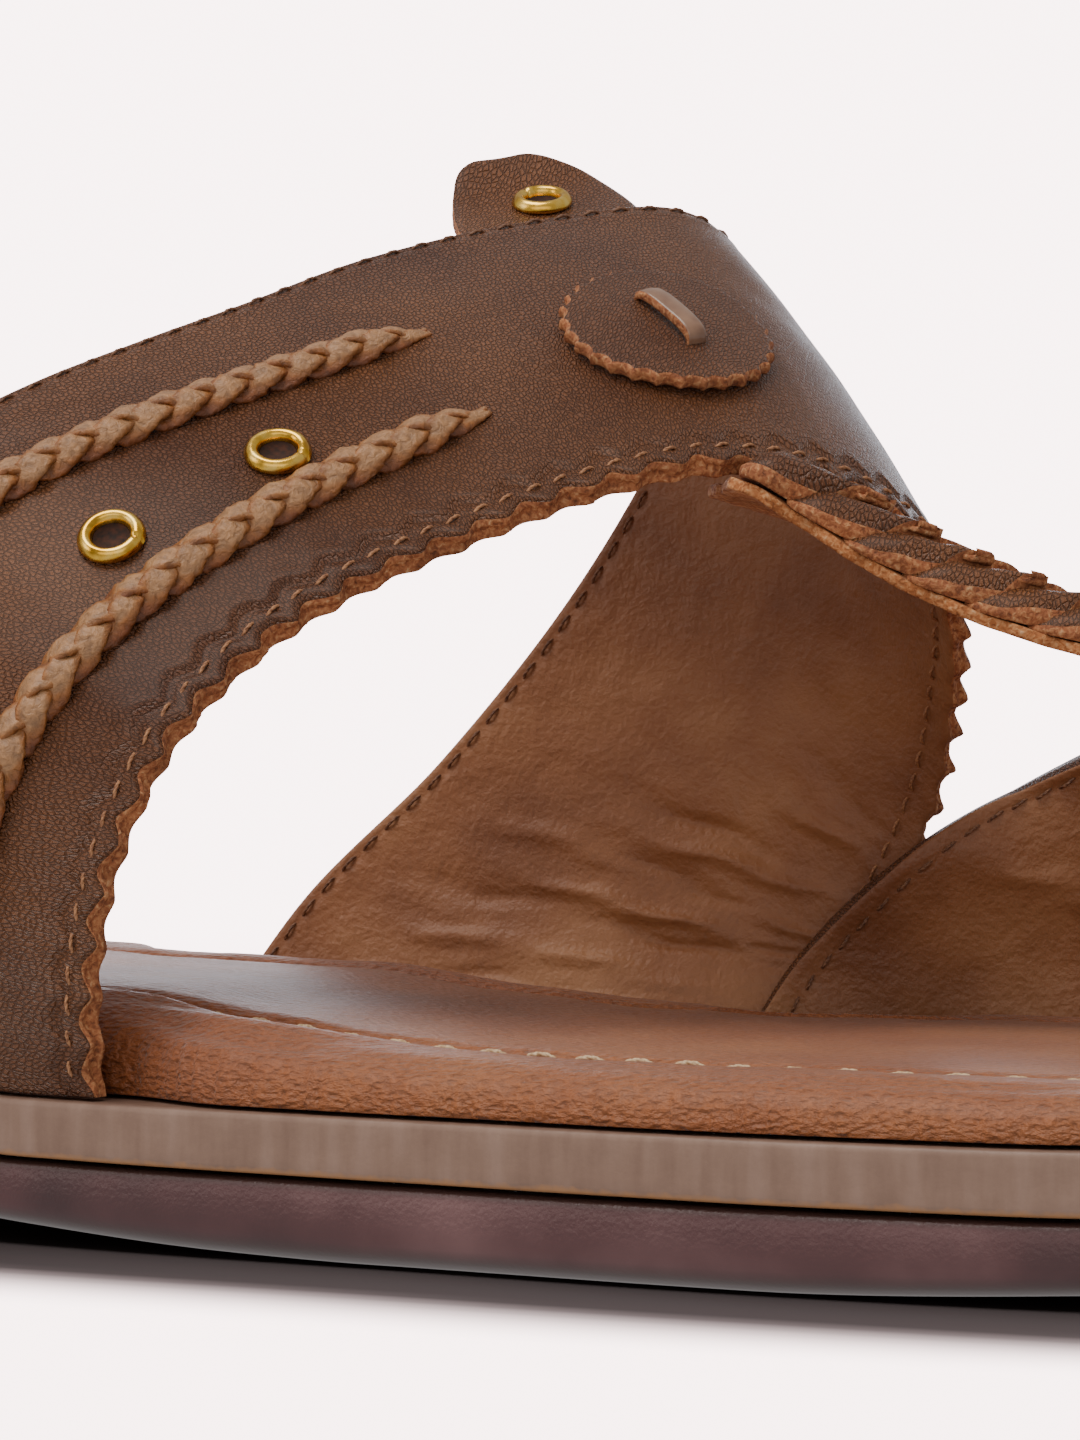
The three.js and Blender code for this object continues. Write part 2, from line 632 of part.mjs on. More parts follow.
// A plaited cord laid on the strap, with tapered ends
function makeCord(name, table) {
  const steps = 18;
  const section = [[1, 0], [-1, 0], [-0.72, 0.75], [0, 1], [0.72, 0.75]];
  const placeAt = (share) => {
    const position = share * (table.length - 1);
    return [alongRows(table, 'row', position), alongRows(table, 'across', position)];
  };
  const vertices = [];
  for (let i = 0; i <= steps; i += 1) {
    const share = i / steps;
    const place = placeAt(share);
    const centre = strap.lifted(...place, GAP);
    const back = strap.lifted(...placeAt(Math.max(0, share - 0.02)), GAP);
    const ahead = strap.lifted(...placeAt(Math.min(1, share + 0.02)), GAP).sub(back).normalize();
    const out = strap.outward(...place);
    const sideways = out.clone().cross(ahead).normalize();
    const size = Math.min(1, 0.4 + 6 * Math.min(share, 1 - share));
    section.forEach(([aside, up]) => vertices.push(centre.clone()
      .addScaledVector(sideways, (aside * size * CORD_WIDTH) / 2)
      .addScaledVector(out, up * size * CORD_RISE).toArray()));
  }
  const count = section.length;
  const end = steps * count;
  const triangles = [];
  for (let i = 0; i < end; i += count) {
    for (let j = 0; j < count; j += 1) {
      const next = (j + 1) % count;
      triangles.push([i + j, i + next + count, i + next], [i + j, i + j + count, i + next + count]);
    }
  }
  for (let j = 1; j < count - 1; j += 1) triangles.push([0, j, j + 1], [end, end + j + 1, end + j]);
  return meshOf(name, vertices, triangles, COLOURS.plait, 0.7);
}

// Point over the strap reached from a place by going forward and sideways
function overStrap(place, forward, sideways, lift) {
  const found = strap.walk(place, forward, sideways);
  return strap.lifted(found.row, found.across, lift);
}

// The scalloped disc, bent to the strap under it
function makeDisc() {
  const perScallop = 3;
  const bite = [0, 0.75, 0.75];
  const count = DISC_SCALLOPS * perScallop;
  const ring = (share, lift, every) => {
    const points = [];
    for (let i = 0; i < count; i += every) {
      const angle = (2 * Math.PI * i) / count;
      const radius = share * (DISC_RADIUS - (every === 1 ? SCALLOP_DEPTH * bite[i % perScallop] : 0));
      points.push(overStrap(DISC_PLACE, radius * Math.cos(angle), radius * Math.sin(angle), lift));
    }
    return points;
  };
  const low = GAP + 0.1;
  const high = low + DISC_THICK;
  const middleShare = 0.68;
  const points = [
    ...ring(1, high, 1), ...ring(1, low, 1),
    ...ring(middleShare, high, perScallop), ...ring(middleShare, low, perScallop),
    overStrap(DISC_PLACE, 0, 0, high), overStrap(DISC_PLACE, 0, 0, low),
  ];
  const middle = count * 2;
  const centre = middle + DISC_SCALLOPS * 2;
  const triangles = [];
  for (let i = 0; i < count; i += 1) {
    const next = (i + 1) % count;
    triangles.push([i, next, count + next], [i, count + next, count + i]);
  }
  for (let k = 0; k < DISC_SCALLOPS; k += 1) {
    const here = middle + k;
    const next = middle + ((k + 1) % DISC_SCALLOPS);
    const a = k * perScallop;
    const d = (a + perScallop) % count;
    const upper = [
      [here, a + 1, a], [here, a + 2, a + 1], [here, next, a + 2], [next, d, a + 2], [centre, next, here],
    ];
    const toLower = (index) => {
      if (index === centre) return centre + 1;
      return index >= middle ? index + DISC_SCALLOPS : index + count;
    };
    upper.forEach((corner) => {
      const [p, q, r] = corner.map(toLower);
      triangles.push(corner, [p, r, q]);
    });
  }
  const facingOut = triangles.map(([a, b, c]) => [a, c, b]);
  return meshOf('disc', points.map((point) => point.toArray()), facingOut, COLOURS.strap, 0.5);
}

// The thong that holds the disc: a low arch over its middle
function makeDiscThong() {
  const steps = 8;
  const halfLength = 3.6;
  const halfWidth = 1.1;
  const thick = 0.9;
  const arch = 0.8;
  const turn = 0.35;
  const seat = GAP + 0.1 + DISC_THICK + GAP;
  const grid = (extra) => Array.from({ length: steps + 1 }, (_, i) => {
    const run = halfLength * ((2 * i) / steps - 1);
    const rise = seat + arch * (1 - (run / halfLength) ** 2) + extra;
    return [halfWidth, -halfWidth].map((aside) => overStrap(DISC_PLACE,
      run * Math.cos(turn) - aside * Math.sin(turn), run * Math.sin(turn) + aside * Math.cos(turn), rise));
  });
  const { vertices, triangles } = wallBetween(grid(thick), grid(0));
  return meshOf('disc_thong', vertices, triangles, COLOURS.strap, 0.5);
}

// Brass eyelet: a rolled ring that stands on a face
function makeEyelet(name, centre, out) {
  const profile = [
    [EYELET_HOLE, 0], [EYELET_OUTER - 0.15, 0], [EYELET_OUTER, 0.3], [EYELET_OUTER - 0.5, 0.8],
    [EYELET_HOLE + 0.45, 0.95], [EYELET_HOLE, 0.5], [EYELET_HOLE, 0],
  ].map(([radius, height]) => new THREE.Vector2(radius, height));
  const geometry = new THREE.LatheGeometry(profile, 16);
  const material = new THREE.MeshStandardMaterial({ color: COLOURS.brass, roughness: 0.25, metalness: 1 });
  const mesh = new THREE.Mesh(geometry, material);
  mesh.quaternion.setFromUnitVectors(new THREE.Vector3(0, 1, 0), out);
  mesh.position.copy(centre);
  mesh.name = name;
  return mesh;
}

// The rear tab lies in line with the strap's lining: a rounded end behind, a broad root under the strap
function makeTab() {
  const depth = STRAP_WALL + GAP;
  const shares = [0, 0.25, 0.5, 0.75, 1];
  const grid = (lift) => TAB.map(({ run, left, right, rise }) => shares.map((share) =>
    overStrap(TAB_PLACE, run, right + (left - right) * share, lift + rise)));
  const { vertices, triangles } = wallBetween(grid(-depth), grid(-depth - TAB_THICK));
  return meshOf('rear_tab', vertices, triangles, COLOURS.strap, 0.5);
}

const sandal = new THREE.Group();
sandal.add(makeOutsole(), makeMidsole(), makeInsole(), makeStrap(), makeToeBand(), ...makeStrip());
sandal.add(
  makeCord('plait_outer_upper', CORD_OUTER_UPPER),
  makeCord('plait_outer_lower', CORD_OUTER_LOWER),
  makeCord('plait_inner_upper', CORD_INNER_UPPER),
  makeCord('plait_inner_lower', CORD_INNER_LOWER),
);
STRAP_EYELETS.forEach(({ name, row, across }) => {
  sandal.add(makeEyelet(name, strap.lifted(row, across, GAP), strap.outward(row, across)));
});
sandal.add(makeDisc(), makeDiscThong(), makeTab());
const tabOut = strap.outward(TAB_PLACE.row, TAB_PLACE.across);
sandal.add(makeEyelet('eyelet_tab', strap.lifted(TAB_PLACE.row, TAB_PLACE.across, -STRAP_WALL), tabOut));

// The origin is under the middle of the sole
sandal.position.set(-LENGTH / 2, -(OUTER_BALL_Y + INNER_BALL_Y) / 2, 0);
const model = new THREE.Group();
model.add(sandal);

export default model;
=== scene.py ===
import math

import bmesh
import bpy
import numpy as np
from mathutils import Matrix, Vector


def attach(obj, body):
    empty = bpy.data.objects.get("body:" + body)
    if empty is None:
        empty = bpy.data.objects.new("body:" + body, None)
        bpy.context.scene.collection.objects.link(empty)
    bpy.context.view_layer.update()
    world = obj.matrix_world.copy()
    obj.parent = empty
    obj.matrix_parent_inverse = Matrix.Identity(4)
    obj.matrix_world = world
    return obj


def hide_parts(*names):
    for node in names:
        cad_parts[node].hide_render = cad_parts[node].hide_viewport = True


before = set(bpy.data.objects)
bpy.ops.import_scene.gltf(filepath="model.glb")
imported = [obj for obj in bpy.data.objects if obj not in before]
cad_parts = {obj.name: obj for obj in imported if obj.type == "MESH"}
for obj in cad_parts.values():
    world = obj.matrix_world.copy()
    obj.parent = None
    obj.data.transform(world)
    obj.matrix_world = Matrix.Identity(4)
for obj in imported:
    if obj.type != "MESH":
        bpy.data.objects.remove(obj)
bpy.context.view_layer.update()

# Outsole: one moulded wine-red rubber unit with a low heel, an arch and toe spring.
# Its side is finely grained above and smooth below; its lower edge and its top under the midsole are
# darkened with painted shade.
# The tables give millimetres from the heel end (x) and from the line of the last (y, inner side positive).
LENGTH = 296.0
TOE_TIP_Y = 14.0
HEEL_MID_Y = -1.0
HEEL_ROUND_X = 40.0
BALL = {"outer": (195.0, -47.5), "inner": (230.0, 56.0)}
TOE_POWER = 2.3
HEEL_POWER = 2.1
GAP = 0.35
MIDSOLE_THICK = 4.7
ORIGIN = np.array([LENGTH / 2, (BALL["outer"][1] + BALL["inner"][1]) / 2, 0.0])

OUTLINE = {
    "x": [40, 80, 112, 140, 162, 195, 230],
    "outer": [-35, -36.8, -41, -44, -45.3, -47.5, -47.5],
    "inner": [33, 29.5, 28.4, 31, 37, 47.5, 56],
}
UNDERSIDE = {
    "x": [0, 70, 73, 79, 100, 127, 148, 160, 192, 217, 250, 296],
    "z": [0, 0, 0, 5.4, 4.2, 1.5, 0.25, 0, 0, 0.9, 3.8, 9.8],
}
MIDSOLE_TOP = {
    "x": [0, 60, 100, 128, 180, 212, 250, 296],
    "z": [17.2, 17, 14.2, 11.8, 11.3, 11.2, 13, 18.8],
}


def smooth_step(start, end, x):
    """A share that grows softly from 0 at the start to 1 at the end."""
    f = np.clip((np.asarray(x, float) - start) / (end - start), 0, 1)
    return f * f * (3 - 2 * f)


def at_x(table, column, x):
    """Value of a column at a distance x, on a curve that never passes the rows beside it."""
    xs = np.array(table["x"], float)
    vs = np.array(table[column], float)
    slopes = np.diff(vs) / np.diff(xs)
    tangents = np.zeros(len(xs))
    same = slopes[:-1] * slopes[1:] > 0
    both = np.where(same, slopes[:-1] + slopes[1:], 1)
    tangents[1:-1] = np.where(same, 2 * slopes[:-1] * slopes[1:] / both, 0)
    x = np.clip(np.asarray(x, float), xs[0], xs[-1])
    i = np.clip(np.searchsorted(xs, x) - 1, 0, len(xs) - 2)
    width = xs[i + 1] - xs[i]
    f = (x - xs[i]) / width
    rise = (1 + 2 * f) * (1 - f) ** 2 * vs[i] + f * f * (3 - 2 * f) * vs[i + 1]
    return rise + width * (f * (1 - f) ** 2 * tangents[i] + f * f * (f - 1) * tangents[i + 1])


def edge_y(x, side):
    """Outer or inner edge of the sole at a distance x from the heel end."""
    x = np.asarray(x, float)
    ball_x, ball_y = BALL[side]
    y = at_x(OUTLINE, side, x)
    into_heel = np.clip(HEEL_ROUND_X - x, 0, None) / HEEL_ROUND_X
    into_toe = np.clip(x - ball_x, 0, None) / (LENGTH - ball_x)
    heel_share = np.sqrt(np.clip(1 - into_heel**HEEL_POWER, 0, 1))
    toe_share = np.sqrt(np.clip(1 - into_toe**TOE_POWER, 0, 1))
    y = np.where(x < HEEL_ROUND_X, HEEL_MID_Y + (OUTLINE[side][0] - HEEL_MID_Y) * heel_share, y)
    return np.where(x > ball_x, TOE_TIP_Y + (ball_y - TOE_TIP_Y) * toe_share, y)


def sole_loop(count):
    """The sole's edge as one loop with outward directions, along the outer side and back along the inner.

    The loop has twice as many points as stations, less the two at the heel and the toe.
    """
    fine = LENGTH / 2 * (1 - np.cos(np.pi * np.linspace(0, 1, 4001)))
    lengths = np.zeros(len(fine))
    for side in ("outer", "inner"):
        steps = np.hypot(np.diff(fine), np.diff(edge_y(fine, side)))
        lengths[1:] += np.cumsum(steps)
    stations = np.interp(np.linspace(0, lengths[-1], count), lengths, fine)
    x = np.concatenate([stations, stations[-2:0:-1]])
    y = np.concatenate([edge_y(stations, "outer"), edge_y(stations[-2:0:-1], "inner")])
    along_x = np.roll(x, -1) - np.roll(x, 1)
    along_y = np.roll(y, -1) - np.roll(y, 1)
    size = np.hypot(along_x, along_y)
    return {"x": x, "y": y, "out_x": along_y / size, "out_y": -along_x / size, "stations": count}


# how many plain waves make up the unevenness, and the height that they rarely pass together
WAVES = 7
WAVES_TOGETHER = 4.2


def wave(x, y, z, seed, size):
    """Smooth unevenness between -1 and 1, with features about size across, in millimetres."""
    rng = np.random.default_rng(seed)
    total = np.zeros(np.broadcast(x, y, z).shape)
    for _ in range(WAVES):
        direction = rng.normal(size=3)
        direction /= np.linalg.norm(direction)
        turn = 2 * np.pi / (size * rng.uniform(0.75, 1.4))
        distance = direction[0] * x + direction[1] * y + direction[2] * z
        total = total + np.sin(turn * distance + rng.uniform(0, 6.28))
    return total / WAVES_TOGETHER


def new_mesh(name, points, faces, materials, smooth=True):
    """A piece from points in millimetres in the tables' frame; faces are quads or triangles."""
    mesh = bpy.data.meshes.new(name)
    mesh.from_pydata(((np.asarray(points) - ORIGIN) / 1000).tolist(), [], faces)
    for material in materials:
        mesh.materials.append(material)
    mesh.polygons.foreach_set("use_smooth", [smooth] * len(mesh.polygons))
    mesh.update()
    piece = bpy.data.objects.new(name, mesh)
    bpy.context.scene.collection.objects.link(piece)
    return piece


def add_numbers(piece, name, values):
    """A number on each vertex for the material to read."""
    layer = piece.data.attributes.new(name, "FLOAT", "POINT")
    layer.data.foreach_set("value", np.asarray(values, np.float32).ravel())


def linear(hex_colour):
    """sRGB hex to the linear colour that a shader takes."""
    channels = [int(hex_colour[i:i + 2], 16) / 255 for i in (1, 3, 5)]
    return tuple(c / 12.92 if c <= 0.04045 else ((c + 0.055) / 1.055) ** 2.4 for c in channels) + (1.0,)


def add_node(owner, kind, settings=None, inputs=None):
    """Adds a node to a material, world or tree.

    A setting is a property or the stops of a ramp. An input is a value, or an output to link.
    """
    tree = getattr(owner, "node_tree", owner)
    node = tree.nodes.new(kind)
    for name, value in (settings or {}).items():
        if name == "ramp":
            stops = node.color_ramp.elements
            stops.remove(stops[1])
            for i, (position, colour) in enumerate(value):
                stop = stops[0] if i == 0 else stops.new(position)
                stop.position = position
                stop.color = linear(colour) if isinstance(colour, str) else (colour, colour, colour, 1)
        else:
            setattr(node, name, value)
    for name, value in (inputs or {}).items():
        if isinstance(value, bpy.types.NodeSocket):
            tree.links.new(value, node.inputs[name])
        else:
            node.inputs[name].default_value = value
    return node


def new_material(name, colour, roughness, **shader_inputs):
    """A material with its shader and its place in object coordinates, to which the rest is added."""
    material = bpy.data.materials.new(name)
    material.use_nodes = True
    shader = material.node_tree.nodes["Principled BSDF"]
    shader.inputs["Base Color"].default_value = linear(colour)
    shader.inputs["Roughness"].default_value = roughness
    for socket, value in shader_inputs.items():
        shader.inputs[socket.replace("_", " ")].default_value = value
    place = add_node(material, "ShaderNodeTexCoord").outputs["Object"]
    return material, shader, place


def rings_closed(rings, loop, closing):
    """Faces of a stack of rings round the sole; closing lists the rings that close over a centre line."""
    count = len(loop["x"])
    last = loop["stations"] - 1
    faces = []
    for k in range(rings - 1):
        for i in range(count):
            j = (i + 1) % count
            faces.append((k * count + i, k * count + j, (k + 1) * count + j, (k + 1) * count + i))
    for ring, upward in closing:
        base = ring * count
        for i in range(last):
            a, b = base + i, base + i + 1
            d, c = base + (count - i) % count, base + count - i - 1
            corners = [a, b, c] if i == 0 else ([a, b, d] if i == last - 1 else [a, b, c, d])
            faces.append(tuple(corners if upward else corners[::-1]))
    return faces


def ring_points(loop, inset):
    """The loop moved in from the sole's edge, at height 0."""
    x = loop["x"] - inset * loop["out_x"]
    y = loop["y"] - inset * loop["out_y"]
    return np.stack([x, y, np.zeros(len(x))], axis=1)


def move_out(ring, loop, distance):
    """Moves a ring outward, by a distance that may differ from point to point."""
    ring[:, 0] += distance * loop["out_x"]
    ring[:, 1] += distance * loop["out_y"]


SOLE = sole_loop(300)
# distance in from the side, and share of the height from the underside to the top
OUTSOLE_PROFILE = [
    (3.4, 0.0), (2.4, 0.02), (1.5, 0.06), (0.75, 0.13), (0.35, 0.2), (0.12, 0.28), (0.0, 0.38), (0.0, 0.55),
    (0.04, 0.72), (0.1, 0.82), (0.3, 0.9), (0.32, 0.94), (0.55, 0.97), (1.1, 0.995), (2.5, 1.0),
]
# shares of the way from the lower edge to the middle line, where the underside has more rings
UNDERSIDE_SHARES = (0.7, 0.35)


def make_outsole():
    """Side of the unit from its lower edge to the groove under the midsole, and a plain underside."""
    top = at_x(MIDSOLE_TOP, "z", SOLE["x"]) - MIDSOLE_THICK - GAP
    under = at_x(UNDERSIDE, "z", SOLE["x"])
    rows = []
    for inset, share in OUTSOLE_PROFILE:
        ring = ring_points(SOLE, inset)
        ring[:, 2] = under + (top - under) * share
        rows.append(ring)
    middle = (edge_y(SOLE["x"], "outer") + edge_y(SOLE["x"], "inner")) / 2
    underside = []
    for share in UNDERSIDE_SHARES:
        ring = rows[0].copy()
        ring[:, 1] += (middle - ring[:, 1]) * share
        ring[:, 2] = at_x(UNDERSIDE, "z", ring[:, 0])
        underside.append(ring)
    rows = underside + rows
    points = np.concatenate(rows)
    # the moulded side isn't quite even
    points[:, :2] += 0.1 * wave(points[:, :1], points[:, 1:2], points[:, 2:], seed=3, size=26.0)
    return points, rings_closed(len(rows), SOLE, [(0, False), (len(rows) - 1, True)])


def outsole_material():
    """Moulded rubber: matt and finely grained, with faint moulding flow, and painted shade along its lower
    edge and its top under the midsole.
    """
    material, shader, place = new_material("moulded_wine_rubber", "#4a2730", 0.42)
    cloud = add_node(material, "ShaderNodeTexNoise", None, {"Vector": place, "Scale": 55.0, "Detail": 5.0})
    wine = add_node(material, "ShaderNodeValToRGB",
                    {"ramp": [(0.3, "#3a2123"), (0.52, "#533233"), (0.72, "#6c4a4a")]},
                    {"Fac": cloud.outputs["Fac"]})
    height = add_node(material, "ShaderNodeAttribute", {"attribute_name": "height"})
    # painted shade: the side is darkened near the floor and at its top under the midsole
    painted_edge_shade = add_node(material, "ShaderNodeValToRGB",
                    {"ramp": [(0.0, 1.0), (0.14, 0.9), (0.3, 0.0), (0.88, 0.0), (0.97, 0.85)]},
                    {"Fac": height.outputs["Fac"]})
    mix = add_node(material, "ShaderNodeMixRGB", None, {
        "Fac": painted_edge_shade.outputs["Color"], "Color1": wine.outputs["Color"], "Color2": linear("#3c2a27")})
    material.node_tree.links.new(mix.outputs["Color"], shader.inputs["Base Color"])
    # grain about 0.35 mm across, only on the upper part of the side
    grain = add_node(material, "ShaderNodeTexNoise", None,
                     {"Vector": place, "Scale": 2600.0, "Detail": 3.0})
    upper = add_node(material, "ShaderNodeValToRGB", {"ramp": [(0.4, 0.12), (0.62, 1.0)]},
                     {"Fac": height.outputs["Fac"]})
    grain_part = add_node(material, "ShaderNodeMath", {"operation": "MULTIPLY"},
                          {0: grain.outputs["Fac"], 1: upper.outputs["Color"]})
    bump = add_node(material, "ShaderNodeBump", None,
                    {"Height": grain_part.outputs["Value"], "Strength": 0.35, "Distance": 0.0004})
    material.node_tree.links.new(bump.outputs["Normal"], shader.inputs["Normal"])
    return material


points, faces = make_outsole()
outsole = new_mesh("outsole_rubber", points, faces, [outsole_material()])
floor_of_side = at_x(UNDERSIDE, "z", points[:, 0])
top_of_side = at_x(MIDSOLE_TOP, "z", points[:, 0]) - MIDSOLE_THICK - GAP
add_numbers(outsole, "height", (points[:, 2] - floor_of_side) / (top_of_side - floor_of_side))
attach(outsole, "root")
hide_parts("outsole")

# Midsole: brown leather board, 4.7 mm thick, cut with the outsole and painted on its edge.
# A light fuzzy line of bare board shows along its lower edge, over the glue line.
# distance in from the edge, and share of the thickness from below
MIDSOLE_PROFILE = [
    (2.6, 0.0), (0.7, 0.0), (0.3, 0.02), (0.06, 0.07), (0.0, 0.14), (0.0, 0.3), (0.03, 0.5), (0.03, 0.7),
    (0.06, 0.88), (0.14, 0.96), (0.4, 0.995), (1.2, 1.0), (3.0, 1.0),
]


def make_midsole():
    """The board's edge, a little uneven from the knife, with level faces above and below."""
    top = at_x(MIDSOLE_TOP, "z", SOLE["x"])
    rows = []
    for inset, share in MIDSOLE_PROFILE:
        ring = ring_points(SOLE, inset)
        long_waves = 0.07 * wave(ring[:, 0], ring[:, 1], ring[:, 2], seed=5, size=17.0)
        ring[:, 2] = top - MIDSOLE_THICK * (1 - share)
        short_waves = 0.03 * wave(*ring.T, seed=6, size=2.2)
        move_out(ring, SOLE, long_waves + short_waves)
        rows.append(ring)
    faces = rings_closed(len(rows), SOLE, [(0, False), (len(rows) - 1, True)])
    return np.concatenate(rows), faces


def midsole_material():
    """Painted leather board: satin, with fine upright knife marks, bare tan fibres at the lower edge and
    painted shade at its top under the footbed.
    """
    material, shader, place = new_material("painted_leather_board", "#6d5142", 0.5)
    # knife marks about 2 mm apart and 9 mm high
    upright = add_node(material, "ShaderNodeMapping", None,
                       {"Vector": place, "Scale": (520.0, 520.0, 110.0)})
    marks = add_node(material, "ShaderNodeTexNoise", None,
                     {"Vector": upright.outputs["Vector"], "Scale": 1.0, "Detail": 4.0})
    paint = add_node(material, "ShaderNodeValToRGB",
                     {"ramp": [(0.3, "#7c5f50"), (0.5, "#866959"), (0.7, "#907364")]},
                     {"Fac": marks.outputs["Fac"]})
    height = add_node(material, "ShaderNodeAttribute", {"attribute_name": "height"})
    fibres = add_node(material, "ShaderNodeTexNoise", None,
                      {"Vector": place, "Scale": 900.0, "Detail": 3.0})
    ragged = add_node(material, "ShaderNodeMath", {"operation": "MULTIPLY_ADD"},
                      {0: fibres.outputs["Fac"], 1: 0.16, 2: height.outputs["Fac"]})
    bare = add_node(material, "ShaderNodeValToRGB", {"ramp": [(0.12, 1.0), (0.2, 0.0)]},
                    {"Fac": ragged.outputs["Value"]})
    mix = add_node(material, "ShaderNodeMixRGB", None, {
        "Fac": bare.outputs["Color"], "Color1": paint.outputs["Color"], "Color2": linear("#a5764f")})
    # painted shade: the top of the board's edge darkens toward the gap under the footbed
    painted_gap_shade = add_node(material, "ShaderNodeValToRGB", {"ramp": [(0.96, 0.0), (0.995, 0.35)]},
                      {"Fac": height.outputs["Fac"]})
    dark = add_node(material, "ShaderNodeMixRGB", None, {
        "Fac": painted_gap_shade.outputs["Color"], "Color1": mix.outputs["Color"], "Color2": linear("#3f2a20")})
    material.node_tree.links.new(dark.outputs["Color"], shader.inputs["Base Color"])
    bump = add_node(material, "ShaderNodeBump", None,
                    {"Height": marks.outputs["Fac"], "Strength": 0.3, "Distance": 0.0002})
    fine = add_node(material, "ShaderNodeBump", None, {
        "Height": fibres.outputs["Fac"], "Strength": 0.25, "Distance": 0.0003,
        "Normal": bump.outputs["Normal"]})
    material.node_tree.links.new(fine.outputs["Normal"], shader.inputs["Normal"])
    return material


points, faces = make_midsole()
midsole = new_mesh("midsole_board", points, faces, [midsole_material()])
board_top = at_x(MIDSOLE_TOP, "z", points[:, 0])
add_numbers(midsole, "height", (points[:, 2] - board_top) / MIDSOLE_THICK + 1)
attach(midsole, "root")
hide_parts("midsole")

# Footbed: soft tan leather drawn over a foam pad and turned under at its lower edge.
# A rolled rim runs round it, and a stitched channel holds the leather down inside the rim.
FOOTBED_INSET = 1.2
STRAP_TUCK = 3.4
LAPPED_TUCK = 6.3
FOOTBED_UNDERTURN = 2.5
# where the straps' feet start and end along the sole, and where two of them are lapped
OUTER_FOOT = (86, 135.5)
INNER_FEET = (107, 205)
LAPPED_FEET = (160, 176)
# height of the footbed's middle over the midsole
RIM = {
    "x": [0, 60, 100, 128, 142, 154, 172, 213, 296],
    "rise": [6.4, 6.6, 7.3, 8.5, 6.9, 5.6, 4.7, 4.4, 3.8],
}
# distance in from the lower edge, and share of the rise over the midsole
FOOTBED_PROFILE = [
    (0.1, 0.0), (0.0, 0.14), (0.3, 0.45), (1.7, 0.8), (4.2, 0.97), (7.4, 1.0), (10.8, 0.92), (12.6, 0.62),
    (14.4, 0.93), (17.0, 0.98), (22.0, 1.0),
]
# Soft folds from the strap's corner along the rim: x, distance in from the edge, turn, length, width, depth
FOOTBED_FOLDS = [
    (150, 3.6, 0.05, 26, 1.6, -0.42), (146, 5.6, 0.1, 20, 1.3, 0.3), (160, 2.0, -0.02, 30, 1.1, -0.28),
    (182, 4.6, 0.03, 18, 1.2, -0.2), (206, 3.0, 0.02, 22, 1.0, -0.25), (226, 4.0, -0.03, 20, 1.2, -0.25),
    (140, 9.0, 0.16, 22, 1.8, -0.4), (172, 9.4, 0.03, 26, 1.6, -0.2), (138, 5.0, 0.2, 16, 1.0, -0.45),
    (142, 2.4, 0.02, 18, 1.0, -0.4),
]


def along_rows(table, position):
    """Points on a curve through a table's rows, at row positions such as 3.4."""
    table = np.asarray(table, float)
    last = len(table) - 1
    padded = np.concatenate([[2 * table[0] - table[1]], table, [2 * table[-1] - table[-2]]])
    position = np.asarray(position, float)
    i = np.clip(np.floor(position).astype(int), 0, last - 1)
    f = (position - i)[..., None]
    a, b, c, d = padded[i], padded[i + 1], padded[i + 2], padded[i + 3]
    return 0.5 * (2 * b + (c - a) * f + (2 * a - 5 * b + 4 * c - d) * f**2 + (3 * b - a - 3 * c + d) * f**3)


def tuck_at(x, out_y):
    """How far the footbed's side is drawn in beside the straps."""
    def along(start, end):
        return smooth_step(start - 7, start - 2, x) * (1 - smooth_step(end - 1, end + 12, x))

    inner = np.maximum(STRAP_TUCK * along(*INNER_FEET), LAPPED_TUCK * along(*LAPPED_FEET))
    return np.where(out_y < 0, STRAP_TUCK * along(*OUTER_FOOT), inner)


def fold_height(x, inset, folds):
    """Height that the listed folds add: a trough with a soft ridge beside it."""
    total = np.zeros(len(x))
    for fold_x, fold_in, turn, length, width, depth in folds:
        along = (x - fold_x) * math.cos(turn) + (inset - fold_in) * math.sin(turn)
        aside = (inset - fold_in) * math.cos(turn) - (x - fold_x) * math.sin(turn)
        fading = (2 * along / length) ** 2
        trough = np.exp(-(aside / width) ** 2 - fading)
        ridge = np.exp(-((aside - 1.7 * width) / width) ** 2 - fading)
        total = total + depth * trough - 0.45 * depth * ridge
    return total


def footbed_ring(loop, position):
    """One ring of the footbed at a row position of its profile."""
    inset, share = along_rows(FOOTBED_PROFILE, np.full(1, position))[0]
    # beside the straps the side is drawn in, and the middle of the footbed isn't
    tuck = tuck_at(loop["x"], loop["out_y"]) * (1 - smooth_step(4, 14, inset))
    ring = ring_points(loop, FOOTBED_INSET + tuck + inset)
    floor = at_x(MIDSOLE_TOP, "z", ring[:, 0]) + GAP
    rise = (at_x(RIM, "rise", ring[:, 0]) - GAP) * share
    loose = smooth_step(0.2, 0.6, share)
    folds = np.where(loop["out_y"] < 0.3, fold_height(ring[:, 0], inset, FOOTBED_FOLDS), 0)
    flat = ring.T.copy()
    soft = 0.09 * wave(*flat, seed=8, size=9.0) + 0.035 * wave(*flat, seed=9, size=2.6)
    ring[:, 2] = floor + rise + loose * (folds + soft)
    # short gathers where the leather is turned under along the lower side
    low = smooth_step(-0.05, 0.12, share) * (1 - smooth_step(0.42, 0.85, share))
    run = np.arange(len(loop["x"]))
    gathers = np.sin(run * 2.35 + 2.1 * np.sin(run * 0.31)) * np.sin(run * 0.83 + 1.3 * np.sin(run * 0.11))
    bulges = (1 - smooth_step(0.5, 0.9, share)) * wave(*flat, seed=12, size=14.0)
    move_out(ring, loop, 0.26 * low * gathers + 0.12 * bulges)
    return ring


